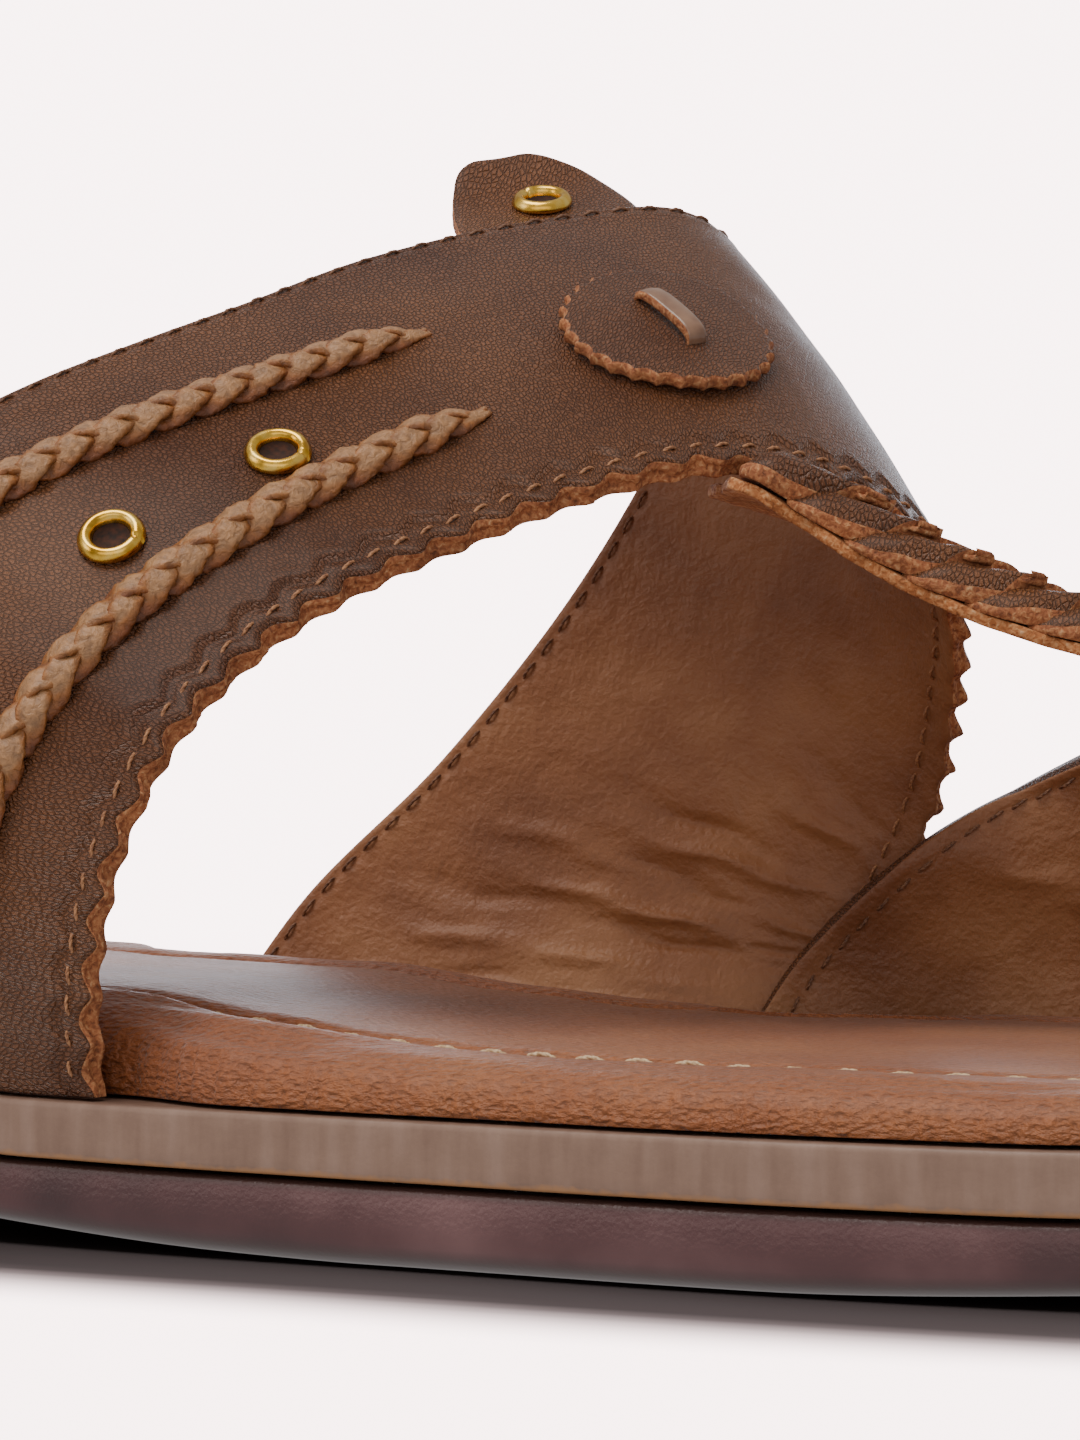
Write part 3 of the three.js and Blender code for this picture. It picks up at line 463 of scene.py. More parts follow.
def make_footbed():
    """Rings from the lower edge over the rim and the channel to the middle of the pad."""
    loop = sole_loop(520)
    rows = [footbed_ring(loop, position) for position in np.linspace(0, len(FOOTBED_PROFILE) - 1, 58)]
    middle = (edge_y(loop["x"], "outer") + edge_y(loop["x"], "inner")) / 2
    shape = rows[-1].copy()
    for share in np.linspace(0, 1, 11)[1:-1]:
        ring = shape.copy()
        ring[:, 1] += (middle - shape[:, 1]) * share
        ring[:, 0] += (loop["x"] - shape[:, 0]) * share * 0.5
        height = at_x(MIDSOLE_TOP, "z", ring[:, 0]) + at_x(RIM, "rise", ring[:, 0])
        ring[:, 2] = height + 0.1 * wave(ring[:, 0], ring[:, 1], 0 * height, seed=8, size=9.0)
        rows.append(ring)
    under = rows[0].copy()
    move_out(under, loop, -FOOTBED_UNDERTURN)
    rows.insert(0, under)
    faces = rings_closed(len(rows), loop, [(0, False), (len(rows) - 1, True)])
    return np.concatenate(rows), faces


def footbed_material():
    """Soft sheepskin: close grain that runs along the shoe, a low satin gloss and darker pores."""
    material, shader, place = new_material(
        "tan_sheepskin", "#9a5c34", 0.52, Coat_Weight=0.25, Coat_Roughness=0.4,
        Sheen_Weight=0.15, Sheen_Roughness=0.35)
    cloud = add_node(material, "ShaderNodeTexNoise", None, {"Vector": place, "Scale": 42.0, "Detail": 4.0})
    tan = add_node(material, "ShaderNodeValToRGB",
                   {"ramp": [(0.3, "#86461b"), (0.5, "#995426"), (0.7, "#ab6634")]},
                   {"Fac": cloud.outputs["Fac"]})
    # grain 0.35 mm wide and 0.8 mm long
    stretch = add_node(material, "ShaderNodeMapping", None,
                       {"Vector": place, "Scale": (1300.0, 2800.0, 2800.0)})
    grain = add_node(material, "ShaderNodeTexNoise", None,
                     {"Vector": stretch.outputs["Vector"], "Scale": 1.0, "Detail": 3.0})
    cells = add_node(material, "ShaderNodeTexVoronoi", {"feature": "SMOOTH_F1"},
                     {"Vector": stretch.outputs["Vector"], "Scale": 0.8, "Smoothness": 0.6})
    pores = add_node(material, "ShaderNodeMath", {"operation": "MULTIPLY_ADD"},
                     {0: cells.outputs["Distance"], 1: 0.6, 2: grain.outputs["Fac"]})
    deep = add_node(material, "ShaderNodeValToRGB", {"ramp": [(0.35, 0.74), (0.6, 1.0)]},
                    {"Fac": grain.outputs["Fac"]})
    toned = add_node(material, "ShaderNodeMixRGB", {"blend_type": "MULTIPLY"},
                     {"Fac": 1.0, "Color1": tan.outputs["Color"], "Color2": deep.outputs["Color"]})
    material.node_tree.links.new(toned.outputs["Color"], shader.inputs["Base Color"])
    bump = add_node(material, "ShaderNodeBump", None,
                    {"Height": pores.outputs["Value"], "Strength": 1.0, "Distance": 0.0006})
    material.node_tree.links.new(bump.outputs["Normal"], shader.inputs["Normal"])
    return material


points, faces = make_footbed()
footbed = new_mesh("footbed_pad", points, faces, [footbed_material()])
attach(footbed, "root")
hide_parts("insole")

# Instep strap: brown grained leather over a tan lining, stitched at the rear, pinked and stitched in front.
# Its ends are held between the midsole and the footbed.
# A place on a strap is a row of its table and a share across from the rear edge.
STRAP_WALL = 2.2
STRAP_INSET = 1.0
STRAP_CROWN = 1.3
TOOTH_PITCH = 4.09
TOOTH_DEPTH = 1.2
LAP_CLEAR = 1.0
# how many rows of its table an end takes to settle on the midsole
SEAT_REACH = 1.4
# rear edge x, y, z and front edge x, y, z
STRAP_ROWS = [
    (86, -37, 16, 135, -43, 12),
    (86.5, -40, 27, 136, -44.4, 22),
    (90, -41, 40.5, 137.8, -43.6, 31.5),
    (97, -38, 53.2, 140.7, -40, 40.3),
    (105.5, -31, 64, 144.4, -33.4, 47.4),
    (114.5, -20, 72, 149.7, -26.9, 52.8),
    (123.5, -6.5, 78.6, 156.8, -19, 57.6),
    (134, 8, 85.6, 164.5, -10.8, 61.8),
    (145.5, 20.5, 90, 172.2, -3, 64.2),
    (154.5, 29.5, 91.4, 179.4, 7, 63),
    (157.5, 36, 87.6, 184.5, 17.5, 58),
    (154.5, 39.5, 79, 184.8, 26, 50.8),
    (146.5, 40.6, 66, 181.8, 33.5, 43.3),
    (137.5, 39, 52.5, 178.6, 37.6, 35.5),
    (126.5, 35.4, 38.5, 173.6, 39.4, 27),
    (115, 30.6, 26, 167.5, 39, 19.5),
    (107, 27, 12, 162, 36, 12),
]


class Band:
    """A strap: an arched sheet between its rear and front edge curves, with its ends seated on the midsole.

    A seat is the row of an end, the side of the sole that it follows if any, and how far in from it.
    """

    def __init__(self, rows, crown, seats):
        self.table = np.array(rows, float)
        self.crown = crown
        self.seats = seats
        self.last = len(rows) - 1
        self.fine = np.linspace(0, self.last, 3001)
        rear, front = self.edges(self.fine)
        self.width_table = np.linalg.norm(front - rear, axis=1)
        self.run_table = self.length_along((rear + front) / 2)
        self.front_table = self.length_along(front)

    def length_along(self, points):
        """Length from the first of some points to each of them."""
        return np.concatenate([[0], np.cumsum(np.linalg.norm(np.diff(points, axis=0), axis=1))])

    def width(self, row):
        return np.interp(row, self.fine, self.width_table)

    def run(self, row):
        return np.interp(row, self.fine, self.run_table)

    def even_rows(self, pieces):
        """Row positions that divide the front edge into equal lengths."""
        return np.interp(np.linspace(0, self.front_table[-1], pieces + 1), self.front_table, self.fine)

    def edges(self, row):
        both = along_rows(self.table, np.clip(row, 0, self.last))
        return both[..., :3], both[..., 3:]

    def ruled(self, row, across):
        """Point on the straight line from the rear edge to the front edge."""
        rear, front = self.edges(row)
        return rear + (front - rear) * across[..., None]

    def face(self, row, across):
        """Point of the outer face."""
        row, across = np.broadcast_arrays(np.asarray(row, float), np.asarray(across, float))
        point = self.ruled(row, across)
        rear, front = self.edges(row)
        out = np.cross(front - rear, self.ruled(row + 0.05, across) - self.ruled(row - 0.05, across))
        out /= np.linalg.norm(out, axis=-1, keepdims=True)
        near = [np.clip(1 - np.abs(row - seat_row) / SEAT_REACH, 0, 1) ** 2 for seat_row, _, _ in self.seats]
        free = 1 - sum(near) if near else np.ones(row.shape)
        point = point + out * (self.crown * 4 * across * (1 - across) * free)[..., None]
        for share, (seat_row, side, inset) in zip(near, self.seats):
            base = self.ruled(np.full(row.shape, float(seat_row)), across)
            if side:
                seat_y = edge_y(base[..., 0], side) - np.sign(base[..., 1]) * inset(across)
                point[..., 1] += share * (seat_y - base[..., 1])
            point[..., 2] += share * (at_x(MIDSOLE_TOP, "z", base[..., 0]) + GAP - base[..., 2])
        return point

    def axes(self, row, across):
        """Directions along the rows, over the width and outward."""
        row, across = np.broadcast_arrays(np.asarray(row, float), np.asarray(across, float))
        ahead = self.face(np.minimum(row + 0.04, self.last), across)
        along = ahead - self.face(np.maximum(row - 0.04, 0), across)
        over = self.face(row, across + 0.04) - self.face(row, across - 0.04)
        out = np.cross(over, along)
        return [v / np.linalg.norm(v, axis=-1, keepdims=True) for v in (along, over, out)]

    def lifted(self, row, across, lift):
        """Point at a height over the outer face, or under it where the lift is negative."""
        point = self.face(row, across)
        return point + self.axes(row, across)[2] * np.broadcast_to(lift, point.shape[:-1])[..., None]

    def walk(self, place, forward, sideways):
        """Places reached from another by going forward and sideways over the face, in millimetres."""
        start_row, start_across = (np.float64(v) for v in place)
        centre = self.face(start_row, start_across)
        out = self.axes(start_row, start_across)[2]
        ahead = self.face(start_row, start_across + 0.02) - self.face(start_row, start_across - 0.02)
        ahead /= np.linalg.norm(ahead)
        aside = np.cross(out, ahead)
        forward, sideways = np.broadcast_arrays(np.asarray(forward, float), np.asarray(sideways, float))
        row = np.full(forward.shape, start_row)
        across = np.full(forward.shape, start_across)
        for _ in range(6):
            here = self.face(row, across) - centre
            miss_forward = forward - here @ ahead
            miss_sideways = sideways - here @ aside
            by_row = (self.face(row + 0.02, across) - self.face(row - 0.02, across)) / 0.04
            by_across = (self.face(row, across + 0.01) - self.face(row, across - 0.01)) / 0.02
            a, b, c, d = by_row @ ahead, by_across @ ahead, by_row @ aside, by_across @ aside
            size = a * d - b * c
            row = row + (d * miss_forward - b * miss_sideways) / size
            across = across + (a * miss_sideways - c * miss_forward) / size
        return row, across


strap = Band(STRAP_ROWS, STRAP_CROWN, [
    (0, "outer", lambda across: STRAP_INSET),
    (len(STRAP_ROWS) - 1, "inner", lambda across: STRAP_INSET),
])
STRAP_SEAM_IN = 2.3
STRAP_TEETH = round(strap.front_table[-1] / TOOTH_PITCH)
# Creases: row, share across, turn from across to along, length, width and depth
STRAP_CREASES = [
    (4.6, 0.2, 1.2, 9, 1.0, -0.1), (5.1, 0.16, 1.0, 11, 0.9, -0.12), (5.6, 0.18, 1.4, 8, 1.0, -0.1),
    (1.6, 0.5, 0.3, 30, 4.0, -0.2), (2.6, 0.55, -0.2, 26, 3.4, 0.18), (0.9, 0.3, 0.5, 22, 2.6, -0.18),
    (3.4, 0.5, 0.1, 20, 3.0, -0.12), (9.3, 0.35, 0.8, 14, 2.2, -0.12), (10.6, 0.5, 0.3, 20, 2.4, -0.25),
    (11.6, 0.4, 0.1, 24, 2.0, 0.2), (14.6, 0.4, 0.4, 22, 2.0, -0.35), (15.2, 0.5, 0.2, 26, 2.2, 0.3),
]
LINING_CREASES = [
    (13.9, 0.58, 0.16, 15, 0.8, 0.5), (14.15, 0.66, 0.1, 18, 0.75, -0.55), (14.4, 0.62, 0.22, 17, 0.8, 0.5),
    (14.75, 0.6, 0.14, 20, 0.8, -0.7), (15.0, 0.72, 0.1, 16, 0.7, 0.45), (15.3, 0.6, 0.2, 18, 0.8, -0.4),
    (14.6, 0.84, 0.3, 10, 0.7, -0.5), (14.9, 0.86, 0.2, 9, 0.6, 0.4), (13.6, 0.76, 0.35, 13, 0.8, -0.4),
    (13.3, 0.8, 0.5, 12, 0.8, 0.3), (14.3, 0.36, 0.1, 15, 1.0, -0.35), (14.8, 0.3, 0.05, 14, 1.0, 0.3),
    (13.1, 0.62, 0.7, 14, 1.1, -0.28), (12.7, 0.7, 0.9, 14, 1.2, 0.24), (12.2, 0.6, 1.0, 16, 1.4, -0.22),
    (15.2, 0.34, 0.1, 14, 0.9, -0.4), (15.5, 0.46, 0.1, 16, 0.8, 0.4), (11.4, 0.5, 0.5, 14, 1.5, 0.2),
]


def crease_height(band, row, across, creases):
    """Height that slightly crooked creases add to a strap's face."""
    total = np.zeros(np.broadcast(row, across).shape)
    for crease_row, crease_across, turn, length, width, depth in creases:
        run = band.run(row) - band.run(crease_row)
        over = (across - crease_across) * band.width(row)
        along = run * math.sin(turn) + over * math.cos(turn)
        crooked = 0.5 * np.sin(along * 0.55 + crease_row * 5)
        aside = run * math.cos(turn) - over * math.sin(turn) + crooked
        total = total + depth * np.exp(-(aside / width) ** 2 - (2 * along / length) ** 2)
    return total


def closer_at_ends(count):
    """Shares from 0 to 1, closer together at both ends."""
    t = np.linspace(0, 1, count)
    return t - 0.72 * np.sin(2 * np.pi * t) / (2 * np.pi)


# the four zones of a strap's skin, which are also the places of their materials
OUTER, FRONT_EDGE, LINING, REAR_EDGE = 0, 1, 2, 3
EDGE_ROLL = 0.3
FRONT_EDGE_ROWS = 7
REAR_EDGE_ROWS = 5


def make_lined_band(band, name, rows, style, materials):
    """Outer leather, front edge, lining and rear edge as one closed skin round the wall."""
    row = rows[:, None]
    width = band.width(row)
    start = EDGE_ROLL / width
    outer_in = style["outer_cut"](rows)[:, None]
    lining_in = style["lining_cut"](rows)[:, None]
    shares = closer_at_ends(style["columns"])[None, :]
    parts = []

    def add_part(zone, across, lift):
        point = band.lifted(row, across, lift)
        parts.append((point, np.full(point.shape[1], zone)))

    # outer face, from just inside the rear edge to the front edge
    across = start + shares * (1 - start - outer_in / width)
    to_front = (1 - across) * width - outer_in
    to_rear = across * width
    soft = 0.06 * wave(*np.moveaxis(band.face(row, across), -1, 0), seed=21, size=11.0)
    lift = crease_height(band, row, across, style["creases"]) + soft
    lift = lift - 0.5 * np.exp(-to_rear / 0.3) - 0.3 * np.exp(-to_front / 0.25)
    lift = lift + style["outer_seams"](to_front, to_rear, row)
    add_part(OUTER, across, lift)
    # front edge, from the outer leather down to the lining, with fibres and the knife's ribs
    t = np.linspace(0, 1, FRONT_EDGE_ROWS + 2)[None, 1:-1]
    across = 1 - (outer_in + (lining_in - outer_in) * t) / width
    x, y, z = np.moveaxis(band.face(row, across), -1, 0)
    fuzz = 0.14 * wave(x, y, z, seed=31, size=1.3) + 0.1 * wave(x, y, z + 3 * t, seed=32, size=0.7)
    ribs = 0.12 * np.sin(t * 9.0 + 1.5 * wave(x, y, z, seed=33, size=5.0))
    across = across + (fuzz + ribs) / width
    add_part(FRONT_EDGE, across, -0.3 - (STRAP_WALL - 0.6) * t)
    # lining, from the front edge back to the rear edge
    across = 1 - lining_in / width + (start - (1 - lining_in / width)) * shares
    to_front = (1 - across) * width - lining_in
    to_rear = across * width
    quiet = smooth_step(0.5, 3, to_front) * smooth_step(0.5, 3, to_rear)
    soft = 0.08 * wave(*np.moveaxis(band.face(row, across), -1, 0), seed=22, size=6.0)
    lift = quiet * (1.5 * crease_height(band, row, across, style["lining_creases"]) + soft)
    lift = lift + 0.3 * np.exp(-to_front / 0.3) + 0.4 * np.exp(-to_rear / 0.3)
    lift = lift + style["lining_seams"](to_front, to_rear)
    add_part(LINING, across, lift - STRAP_WALL)
    # rear edge, from the lining back to the outer leather
    t = np.linspace(0, 1, REAR_EDGE_ROWS + 2)[None, 1:-1]
    across = start - 0.32 * np.sin(np.pi * t) / width
    add_part(REAR_EDGE, across, -(STRAP_WALL - 0.4) + (STRAP_WALL - 0.9) * t)
    around = np.concatenate([point for point, _ in parts], axis=1)
    zones = np.concatenate([zone for _, zone in parts])
    for seat_row, _, _ in band.seats:
        k = int(np.argmin(np.abs(rows - seat_row)))
        around[k, :, 2] = at_x(MIDSOLE_TOP, "z", around[k, :, 0]) + GAP
    count, ring = around.shape[:2]
    faces = []
    face_zones = []
    for j in range(ring):
        n = (j + 1) % ring
        zone = int(zones[j] if zones[j] == zones[n] or zones[j] % 2 else zones[n])
        for k in range(count - 1):
            faces.append((k * ring + j, k * ring + n, (k + 1) * ring + n, (k + 1) * ring + j))
            face_zones.append(zone)
    # each foot is closed by strips between the outer leather and the lining, and a cap over either edge
    columns = style["columns"]
    lining_end = 2 * columns + FRONT_EDGE_ROWS - 1
    for base, turned in ((0, True), ((count - 1) * ring, False)):
        caps = [[j, j + 1, lining_end - j - 1, lining_end - j] for j in range(columns - 1)]
        caps.append(list(range(columns - 1, columns + FRONT_EDGE_ROWS + 1)))
        caps.append(list(range(lining_end, ring)) + [0])
        for cap in caps:
            corners = [base + index for index in cap]
            faces.append(tuple(corners[::-1] if turned else corners))
            face_zones.append(LINING)
    piece = new_mesh(name, around.reshape(-1, 3), faces, materials)
    piece.data.polygons.foreach_set("material_index", face_zones)
    girth = band.length_along(around[count // 2])
    add_numbers(piece, "run", np.repeat(band.run(rows), ring) / 1000)
    add_numbers(piece, "girth", np.tile(girth, count) / 1000)
    return piece


def grained_leather():
    """Aniline calf with a fine grain stretched over the strap: satin, with small glints and dark pores."""
    material, shader, place = new_material(
        "brown_grained_calf", "#6b4533", 0.4, Coat_Weight=0.15, Coat_Roughness=0.3)
    run = add_node(material, "ShaderNodeAttribute", {"attribute_name": "run"}).outputs["Fac"]
    girth = add_node(material, "ShaderNodeAttribute", {"attribute_name": "girth"}).outputs["Fac"]
    flat = add_node(material, "ShaderNodeCombineXYZ", None, {"X": run, "Y": girth}).outputs["Vector"]
    cloud = add_node(material, "ShaderNodeTexNoise", None, {"Vector": place, "Scale": 48.0, "Detail": 4.0})
    brown = add_node(material, "ShaderNodeValToRGB",
                     {"ramp": [(0.3, "#653619"), (0.5, "#7b4824"), (0.7, "#8d562e")]},
                     {"Fac": cloud.outputs["Fac"]})
    # grain cells 0.37 mm by 0.62 mm, longest across the strap, and pebble of a third of that
    stretched = add_node(material, "ShaderNodeMapping", None,
                         {"Vector": flat, "Scale": (2700.0, 1600.0, 1.0)})
    cells = add_node(material, "ShaderNodeTexVoronoi",
                     {"feature": "DISTANCE_TO_EDGE", "voronoi_dimensions": "2D"},
                     {"Vector": stretched.outputs["Vector"], "Scale": 1.0})
    pebble = add_node(material, "ShaderNodeTexNoise", None,
                      {"Vector": stretched.outputs["Vector"], "Scale": 2.6, "Detail": 3.0})
    soft = add_node(material, "ShaderNodeValToRGB", {"ramp": [(0.0, 0.0), (0.22, 1.0)]},
                    {"Fac": cells.outputs["Distance"]})
    height = add_node(material, "ShaderNodeMath", {"operation": "MULTIPLY_ADD"},
                      {0: pebble.outputs["Fac"], 1: 1.1, 2: soft.outputs["Color"]})
    pits = add_node(material, "ShaderNodeValToRGB", {"ramp": [(0.0, 0.8), (0.2, 1.0)]},
                    {"Fac": cells.outputs["Distance"]})
    toned = add_node(material, "ShaderNodeMixRGB", {"blend_type": "MULTIPLY"},
                     {"Fac": 0.6, "Color1": brown.outputs["Color"], "Color2": pits.outputs["Color"]})
    material.node_tree.links.new(toned.outputs["Color"], shader.inputs["Base Color"])
    bump = add_node(material, "ShaderNodeBump", None,
                    {"Height": height.outputs["Value"], "Strength": 1.0, "Distance": 0.0004})
    material.node_tree.links.new(bump.outputs["Normal"], shader.inputs["Normal"])
    return material


# places of the four tones of a raw edge, from its dark gaps to its loose fibres
EDGE_STOPS = (0.25, 0.46, 0.6, 0.74)


def raw_edge(name, tones):
    """Cut flesh of the leather: rust-brown, matt and fuzzy, with paler loose fibres."""
    material, shader, place = new_material(name, tones[1], 0.85)
    fibres = add_node(material, "ShaderNodeTexNoise", None,
                      {"Vector": place, "Scale": 2200.0, "Detail": 5.0, "Distortion": 0.6})
    rust = add_node(material, "ShaderNodeValToRGB",
                    {"ramp": list(zip(EDGE_STOPS, tones))}, {"Fac": fibres.outputs["Fac"]})
    patches = add_node(material, "ShaderNodeTexNoise", None,
                       {"Vector": place, "Scale": 420.0, "Detail": 3.0})
    shade = add_node(material, "ShaderNodeValToRGB", {"ramp": [(0.3, 0.7), (0.65, 1.0)]},
                     {"Fac": patches.outputs["Fac"]})
    toned = add_node(material, "ShaderNodeMixRGB", {"blend_type": "MULTIPLY"},
                     {"Fac": 1.0, "Color1": rust.outputs["Color"], "Color2": shade.outputs["Color"]})
    material.node_tree.links.new(toned.outputs["Color"], shader.inputs["Base Color"])
    bump = add_node(material, "ShaderNodeBump", None,
                    {"Height": fibres.outputs["Fac"], "Strength": 0.7, "Distance": 0.0004})
    material.node_tree.links.new(bump.outputs["Normal"], shader.inputs["Normal"])
    return material


def lining_leather():
    """Smooth tan lining hide: a low gloss, cloudy in colour and finely creased."""
    material, shader, place = new_material("tan_lining_hide", "#8a5a3c", 0.5)
    cloud = add_node(material, "ShaderNodeTexNoise", None, {"Vector": place, "Scale": 60.0, "Detail": 5.0})
    tan = add_node(material, "ShaderNodeValToRGB",
                   {"ramp": [(0.3, "#7c4c2f"), (0.5, "#966340"), (0.7, "#a8764f")]},
                   {"Fac": cloud.outputs["Fac"]})
    material.node_tree.links.new(tan.outputs["Color"], shader.inputs["Base Color"])
    fine = add_node(material, "ShaderNodeTexNoise", None, {"Vector": place, "Scale": 1700.0, "Detail": 4.0})
    creases = add_node(material, "ShaderNodeTexNoise", None,
                       {"Vector": place, "Scale": 260.0, "Detail": 4.0, "Distortion": 0.8})
    both = add_node(material, "ShaderNodeMath", {"operation": "MULTIPLY_ADD"},
                    {0: creases.outputs["Fac"], 1: 2.0, 2: fine.outputs["Fac"]})
    bump = add_node(material, "ShaderNodeBump", None,
                    {"Height": both.outputs["Value"], "Strength": 0.45, "Distance": 0.0004})
    material.node_tree.links.new(bump.outputs["Normal"], shader.inputs["Normal"])
    return material


brown_leather = grained_leather()
rust_edge = raw_edge("raw_cut_edge", ("#65371f", "#a5623c", "#c28254", "#dcac7e"))
tan_lining = lining_leather()
BAND_SKINS = [brown_leather, rust_edge, tan_lining, brown_leather]


def tooth_phase(rows):
    """How many teeth along the front edge a row is."""
    return np.interp(rows, strap.fine, strap.front_table) / strap.front_table[-1] * STRAP_TEETH


def bump_at(distance, centre, width):
    """A soft bump of height 1 across a line that lies at a distance from an edge."""
    return np.exp(-((distance - centre) / width) ** 2)


def strap_outer_seams(to_front, to_rear, row):
    """A trough along each row of stitches, a bead beside it, and teeth whose tips curl up a little."""
    front = 0.1 * bump_at(to_front, 3.4, 0.8) - 0.28 * bump_at(to_front, STRAP_SEAM_IN, 0.5)
    rear = 0.08 * bump_at(to_rear, 2.2, 0.7) - 0.16 * bump_at(to_rear, 1.1, 0.35)
    tip = np.abs(np.cos(np.pi * tooth_phase(row))) ** 6
    return front + rear + 0.22 * tip * np.exp(-to_front / 0.9)


def pinked_cut(rows):
    """How far the outer leather is cut back between its teeth, a little ragged."""
    ragged = 0.16 * (1 + wave(rows * 3.1, 0, 0, seed=24, size=0.5))
    return TOOTH_DEPTH * np.abs(np.sin(np.pi * tooth_phase(rows))) ** 1.5 + ragged


strap_style = {
    "outer_cut": pinked_cut,
    "lining_cut": lambda rows: 0.1 + 0.5 * np.abs(np.sin(np.pi * tooth_phase(rows) + 0.3)) ** 1.5,
    "columns": 46,
    "creases": STRAP_CREASES,
    "lining_creases": LINING_CREASES,
    "outer_seams": strap_outer_seams,
    "lining_seams": lambda to_front, to_rear: (0.2 * bump_at(to_front, 2.6, 0.4)
                                               + 0.12 * bump_at(to_rear, 1.4, 0.4)),
}
ROWS_PER_TOOTH = 12
upper = make_lined_band(
    strap, "instep_upper", strap.even_rows(STRAP_TEETH * ROWS_PER_TOOTH), strap_style, BAND_SKINS)
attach(upper, "root")
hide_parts("instep_strap")

# Stitches: waxed thread of two twisted strands, set a little slanted in the troughs of the seams.
# Each is pulled into the leather at its ends. A seam is a set of points that know their direction and the
# way out of the leather, and a stitch grows on each of them.
THREAD_THICK = 0.36
STITCH_RISE = 0.22


def thread_tree():
    """Geometry nodes: one bent, twisted stitch on each point, turned by the point's own directions."""
    tree = bpy.data.node_groups.new("waxed_thread_stitches", "GeometryNodeTree")
    tree.interface.new_socket("Geometry", in_out="INPUT", socket_type="NodeSocketGeometry")
    tree.interface.new_socket("Geometry", in_out="OUTPUT", socket_type="NodeSocketGeometry")
    for name in ("Length", "Rise", "Strand"):
        tree.interface.new_socket(name, in_out="INPUT", socket_type="NodeSocketFloat")
    tree.interface.new_socket("Material", in_out="INPUT", socket_type="NodeSocketMaterial")
    group_in = add_node(tree, "NodeGroupInput").outputs
    share = add_node(tree, "GeometryNodeSplineParameter").outputs["Factor"]
    line = add_node(tree, "GeometryNodeCurvePrimitiveLine", None, {"End": (1.0, 0.0, 0.0)})
    cut = add_node(tree, "GeometryNodeResampleCurve", None, {"Curve": line.outputs["Curve"], "Count": 9})
    centred = add_node(tree, "ShaderNodeMath", {"operation": "SUBTRACT"}, {0: share, 1: 0.5})
    run = add_node(tree, "ShaderNodeMath", {"operation": "MULTIPLY"},
                   {0: centred.outputs[0], 1: group_in["Length"]})
    # the stitch stands a little proud in its middle and dips into the leather at both ends
    from_middle = add_node(tree, "ShaderNodeMath", {"operation": "ABSOLUTE"}, {0: centred.outputs[0]})
    curve = add_node(tree, "ShaderNodeMath", {"operation": "POWER"}, {0: from_middle.outputs[0], 1: 2.5})
    fall = add_node(tree, "ShaderNodeMath", {"operation": "MULTIPLY_ADD"},
                    {0: curve.outputs[0], 1: -13.0, 2: 1.0})
    height = add_node(tree, "ShaderNodeMath", {"operation": "MULTIPLY"},
                      {0: fall.outputs[0], 1: group_in["Rise"]})
    swing = add_node(tree, "ShaderNodeMath", {"operation": "MULTIPLY"}, {0: group_in["Strand"], 1: 0.65})
    thick = add_node(tree, "ShaderNodeMath", {"operation": "MULTIPLY"}, {0: group_in["Strand"], 1: 1.3})
    ring = add_node(tree, "GeometryNodeCurvePrimitiveCircle", {"mode": "RADIUS"},
                    {"Resolution": 5, "Radius": thick.outputs[0]})
    strands = []
    for phase in (0.0, math.pi):
        # the strands turn round each other by 11 radians from one end to the other
        angle = add_node(tree, "ShaderNodeMath", {"operation": "MULTIPLY_ADD"},
                         {0: share, 1: 11.0, 2: phase})
        cosine = add_node(tree, "ShaderNodeMath", {"operation": "COSINE"}, {0: angle.outputs[0]})
        sine = add_node(tree, "ShaderNodeMath", {"operation": "SINE"}, {0: angle.outputs[0]})
        aside = add_node(tree, "ShaderNodeMath", {"operation": "MULTIPLY"},
                         {0: cosine.outputs[0], 1: swing.outputs[0]})
        rise = add_node(tree, "ShaderNodeMath", {"operation": "MULTIPLY_ADD"},
                        {0: sine.outputs[0], 1: swing.outputs[0], 2: height.outputs[0]})
        spot = add_node(tree, "ShaderNodeCombineXYZ", None,
                        {"X": run.outputs[0], "Y": aside.outputs[0], "Z": rise.outputs[0]})
        placed = add_node(tree, "GeometryNodeSetPosition", None,
                          {"Geometry": cut.outputs["Curve"], "Position": spot.outputs["Vector"]})
        strands.append(add_node(tree, "GeometryNodeCurveToMesh", None, {
            "Curve": placed.outputs["Geometry"], "Profile Curve": ring.outputs["Curve"], "Fill Caps": True}))
    both = add_node(tree, "GeometryNodeJoinGeometry")
    for strand in strands:
        tree.links.new(strand.outputs["Mesh"], both.inputs["Geometry"])
    smooth = add_node(tree, "GeometryNodeSetShadeSmooth", None, {"Geometry": both.outputs["Geometry"]})
    along, outward = (add_node(tree, "GeometryNodeInputNamedAttribute", {"data_type": "FLOAT_VECTOR"},
                               {"Name": name}).outputs["Attribute"] for name in ("along", "outward"))
    turned = add_node(tree, "FunctionNodeAxesToRotation", {"primary_axis": "Z", "secondary_axis": "X"},
                      {"Primary Axis": outward, "Secondary Axis": along})
    grown = add_node(tree, "GeometryNodeInstanceOnPoints", None, {
        "Points": group_in["Geometry"], "Instance": smooth.outputs["Geometry"],
        "Rotation": turned.outputs["Rotation"]})
    real = add_node(tree, "GeometryNodeRealizeInstances", None, {"Geometry": grown.outputs["Instances"]})
    dressed = add_node(tree, "GeometryNodeSetMaterial", None,
                       {"Geometry": real.outputs["Geometry"], "Material": group_in["Material"]})
    add_node(tree, "NodeGroupOutput", None, {"Geometry": dressed.outputs["Geometry"]})
    return tree


